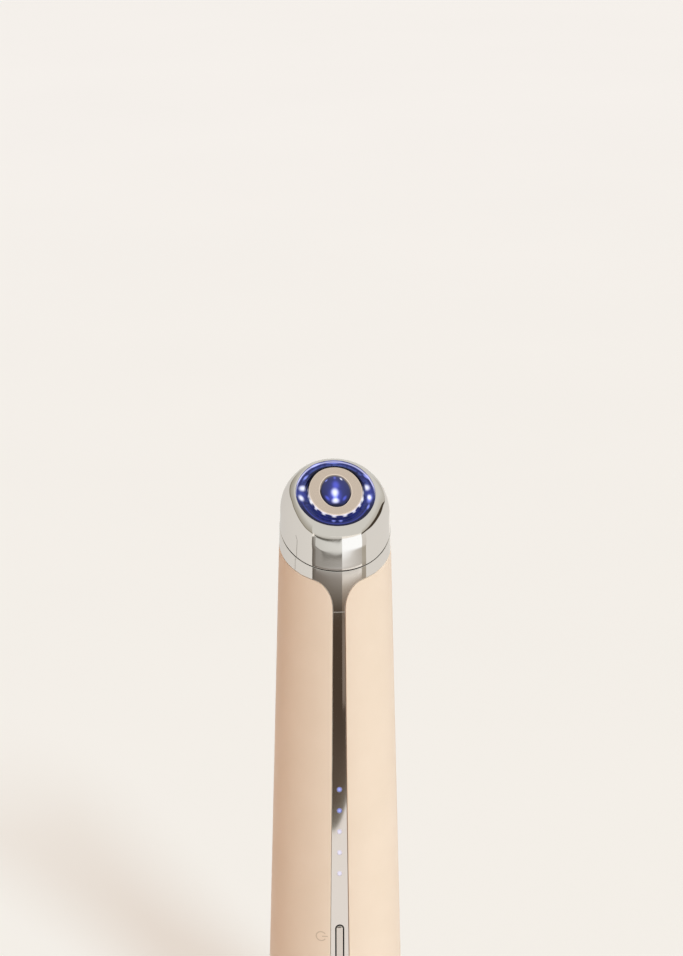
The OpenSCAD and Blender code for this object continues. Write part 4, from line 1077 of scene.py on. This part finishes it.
def flare(angle, grow):
    """Point (x, z) of the hollow curve, grown or shrunk by the edge and the gap."""
    r = tail_fillet - grow
    return flare_x - r * cos(angle), tail_curve_z + r * sin(angle)


def collar_edge(turn, grow):
    """Lower edge of the collar at an angle from the front."""
    plane = slanted(turn, collar_z - grow / cos(collar_tilt), collar_tilt)
    x = body_r(plane) * sin(turn)
    if turn > pi / 2 or x >= flare_x:
        return plane
    r = tail_fillet - grow
    curve = tail_curve_z + sqrt(max(0.0, r * r - (flare_x - x) ** 2))
    near = max(0.0, 1 - abs(plane - curve) / join_soft)
    return min(plane, curve) - near * near * join_soft / 4


print("collar's lower edge at the back, mm:", round(collar_edge(pi, 0), 2))

# %% Neck collar
collar_roll, collar_t, collar_rows = 0.08, 1.1, 14
tail_shares = [0, 0.25, 0.5, 0.75, 1]
flare_turns = [across(*flare(radians(6 * k), -collar_roll)) for k in range(1, 15)]
side_turns = [flare_turns[-1] + (pi - flare_turns[-1]) * k / 56 for k in range(1, 57)]
collar_turns = flare_turns + side_turns


def collar_place(i, j):
    in_tail = i < len(tail_shares)
    if in_tail:
        x, low_z = (tail_w - collar_roll) * tail_shares[i], tail_end_z + collar_roll
        turn = across(x, low_z)
    else:
        turn = collar_turns[i - len(tail_shares)]
        low_z = collar_edge(turn, -collar_roll)
    top_z = slanted(turn, seam_z - collar_roll / cos(head_tilt), head_tilt)
    z = low_z + (top_z - low_z) * (j / collar_rows)
    return on_body(across(x, z) if in_tail else turn, z)


bm = laid(len(tail_shares) + len(collar_turns) - 1, collar_rows, collar_place)
thicken(bm, collar_t, collar_roll)
piece("collar_band", bm, "chrome_trim", "neck_collar", skin=0)

# %% [markdown]
# ## Handle shell
# The shell is one long moulding with a channel for the strip. Its sheet follows the round
# lower end of the channel, the channel's sides, the two flares of the tail and the slanted
# joint, all in one outline, so that the shadow gap around the metal has an even width.
# Two thin floors close the channel behind the strip, above and below the button.

# %% Outline of the strip
end_z, end_half, strip_top = 28.0, 2.68, 145.55
strip_widths = [(end_z, end_half), (50.0, 2.48), (98.0, 1.94), (strip_top, 1.6), (150.0, 1.6)]


def strip_half(z, grow=0.0):
    """Half width of the strip at a height, its outline grown by a margin."""
    if z < end_z:
        r = end_half + grow
        return sqrt(max(0.0, r * r - (end_z - z) ** 2))
    for (z0, w0), (z1, w1) in zip(strip_widths, strip_widths[1:]):
        if z <= z1:
            return w0 + (w1 - w0) * (z - z0) / (z1 - z0) + grow
    return strip_widths[-1][1] + grow


print("strip, half width at foot and top, mm:", strip_half(end_z), strip_half(strip_top))

# %% Rows and columns of the shell
cap_top, play, shell_roll = 2.15, 0.15, 0.15
shell_gap = play + shell_roll
end_r = end_half + shell_gap
flare_steps, top_rows = 7, 4
shell_z = [cap_top + shell_roll, 6, 10, 14, 18, 22]
shell_z += [end_z - end_r * cos(radians(t)) for t in range(0, 91, 9)]
shell_z += [33, 39, 46, 53, 60, 68, 76, 84, 92, 100, 108, 116, 124, 132, 139, 143, tail_curve_z]
shell_z += [flare(radians(45 * k / flare_steps), shell_gap)[1] for k in range(1, flare_steps + 1)]
turn_45 = across(*flare(radians(45), shell_gap))
shell_turns = [across(*flare(radians(45 + 45 * k / 10), shell_gap)) for k in range(11)]
shell_turns += [shell_turns[-1] + (pi - shell_turns[-1]) * k / 48 for k in range(1, 49)]
shares = [(t - turn_45) / (pi - turn_45) for t in shell_turns]


def shell_side(z):
    """Angle of the shell's edge beside the strip or the tail."""
    if z <= tail_curve_z:
        return across(strip_half(z, shell_gap), z)
    r = tail_fillet - shell_gap
    return across(flare_x - sqrt(max(0.0, r * r - (z - tail_curve_z) ** 2)), z)


def shell_place(i, j):
    if j < len(shell_z):
        z = shell_z[j]
        side = shell_side(z)
        return on_body(side + (pi - side) * shares[i], z)
    turn, low = shell_turns[i], shell_z[-1]
    high = collar_edge(turn, shell_gap)
    return on_body(turn, low + (max(high, low) - low) * (j - len(shell_z) + 1) / top_rows)


print("shell: rows", len(shell_z) + top_rows, "columns", len(shares))

# %% Handle shell
shell_t, floor_t, floor_w, floor_rows = 1.5, 0.9, 3.4, 12
floor_spans = ((22.0, 39.9), (57.6, 152.0))  # from height to height, clear of the switch
hidden_roll = 0.05  # on edges that stay out of sight
bm = laid(len(shares) - 1, len(shell_z) - 1 + top_rows, shell_place)
thicken(bm, shell_t, shell_roll)


def floor_place(z0, z1):
    def place(i, j):
        z = z0 + (z1 - z0) * j / floor_rows
        return on_body(across(floor_w * i / 3, z), z, shell_t)
    return place


for z0, z1 in floor_spans:
    add(bm, thicken(laid(3, floor_rows, floor_place(z0, z1)), floor_t, hidden_roll, 1))
piece("handle_shell", bm, "shell_plastic", "body_shell", skin=0)

# %% [markdown]
# ## Front strip
# A thin plated strip, set a quarter of a millimetre below the shell. It has five small
# holes for the charge lights and a slot for the button. The rows of its grid follow each
# round hole, so the holes are truly round and their edges roll in like stamped metal.

# %% Holes and rows of the strip
sink, strip_t, strip_roll, hole_land, side_land = 0.25, 1.1, 0.06, 0.12, 0.4
slot_mid, slot_l, slot_w, dot_hole = 48.75, 7.5, 1.25, 0.7
slot_low, slot_high = slot_mid - slot_l + slot_w, slot_mid + slot_l - slot_w
dots = [top_dot - dot_pitch * k for k in range(5)]


def round_rows(middle, radius, start, end, steps):
    return [middle - radius * cos(radians(start + (end - start) * k / steps))
            for k in range(steps + 1)]


strip_z = round_rows(end_z, end_half - strip_roll, 0, 90, 10) + [33, 38]
strip_z += round_rows(slot_low, slot_w + strip_roll, 0, 90, 8) + [46, 49, 52]
strip_z += round_rows(slot_high, slot_w + strip_roll, 90, 180, 8) + [60, 65]
for z in reversed(dots):
    strip_z += round_rows(z, dot_hole + strip_roll, 0, 180, 12) + [z + 2.2, z + 3.8]
strip_z += [104, 112, 120, 128, 136, 142, strip_top - strip_roll]
print("rows of the strip:", len(strip_z))


# %% Front strip
def strip_gap(z):
    """Half width of the hole in the strip's middle at a height, 0 where there is none."""
    r = slot_w + strip_roll
    if slot_low - r < z < slot_high + r:
        beyond = max(slot_low - z, z - slot_high, 0)
        return sqrt(max(0.0, r * r - beyond * beyond))
    near = min(abs(z - d) for d in dots)
    r = dot_hole + strip_roll
    return sqrt(max(0.0, r * r - near * near))


def strip_place(i, j):
    z = strip_z[j]
    inner = strip_gap(z)
    outer = strip_half(z, -strip_roll)
    near = min(inner + hole_land, outer)
    far = max(outer - side_land, near)
    x = (inner, near, (2 * near + far) / 3, (near + 2 * far) / 3, far, outer)[i]
    return on_body(across(x, z, sink), z, sink)


bm = laid(5, len(strip_z) - 1, strip_place)
thicken(bm, strip_t, strip_roll)
piece("metal_strip", bm, "strip_chrome", "front_strip", skin=sink)

# %% [markdown]
# ## Power button
# A narrow bar in the strip's slot, a tenth of a millimetre proud, with a slight crown so
# that it catches its own line of light. Its flange behind the strip keeps it in, and a
# small boss presses the switch. It rides on the moving body. Only its face is plated: all
# that lies deeper is black, a painted shade that makes the gap round it read as a dark line.

# %% Bar of the button
button_l, button_w, button_roll = 7.15, 0.9, 0.16


def bar(half_w, half_l, depth, columns=4, crown=0.0):
    """A sheet with round ends in the slot, at a depth, raised along its middle."""
    lo, hi = slot_mid - half_l + half_w, slot_mid + half_l - half_w
    zs = round_rows(lo, half_w, 0, 90, 8) + [lo + (hi - lo) * k / 6 for k in range(1, 6)]
    zs += round_rows(hi, half_w, 90, 180, 8)

    def place(i, j):
        beyond = max(lo - zs[j], zs[j] - hi, 0)
        x = sqrt(max(0.0, half_w ** 2 - beyond ** 2)) * i / columns
        raised_by = crown * (1 - (hypot(x, beyond) / half_w) ** 2)
        return on_body(across(x, zs[j], depth), zs[j], depth - raised_by)

    return laid(columns, len(zs) - 1, place)


face_depth, face_t, flange_more, flange_depth, flange_t = sink - 0.1, 2.0, 0.7, 1.65, 0.6
crown_h = 0.06
bar_face = bar(button_w - button_roll, button_l - button_roll, face_depth, crown=crown_h)
bm = thicken(bar_face, face_t, button_roll, 4)
flange = bar(button_w + flange_more, button_l + flange_more, flange_depth, 3)
add(bm, thicken(flange, flange_t, hidden_roll, 1))
print("button:", 2 * button_w, "by", 2 * button_l, "mm")

# %% Boss and finish of the button
wall, pin_bar, led_layer = 2.4, 0.9, 0.95  # the layers in front of the indicator board
switch_d, plunger_out = 1.5, 0.5
board_front = -(body_r(top_dot) - wall - pin_bar - led_layer)
plunger_tip = board_front - switch_d - plunger_out  # here the boss ends
boss_r, boss_l, plated_depth = 0.8, 2.7, 0.6
boss = lathe([(0, 0), (boss_r, 0), (boss_r, boss_l, 0.1), (0, boss_l)], 40, closed=False)
lying = Matrix.Rotation(radians(-90), 3, "X")
bmesh.ops.rotate(boss, verts=boss.verts, cent=(0, 0, 0), matrix=lying)
bmesh.ops.translate(boss, verts=boss.verts, vec=(0, plunger_tip - boss_l, slot_mid))
add(bm, boss)
button = piece("button_bar", bm, "button_chrome", "power_button", body="button")
# Faces deeper than the plated face take black, a painted shade for the gap round the button.
button.data.materials.append(looks["switch_black"])
for face in button.data.polygons:
    depth = body_r(face.center.z / MM) - hypot(face.center.x, face.center.y) / MM
    face.material_index = int(depth > plated_depth)
print("plated faces:", sum(face.material_index == 0 for face in button.data.polygons))

# %% [markdown]
# ## Finish
# Colours should come out as they are written, so the view is plain Standard. Filmic views
# are kinder to bright skies but would grey the white paper.

# %% Finish
bpy.context.scene.view_settings.view_transform = "Standard"
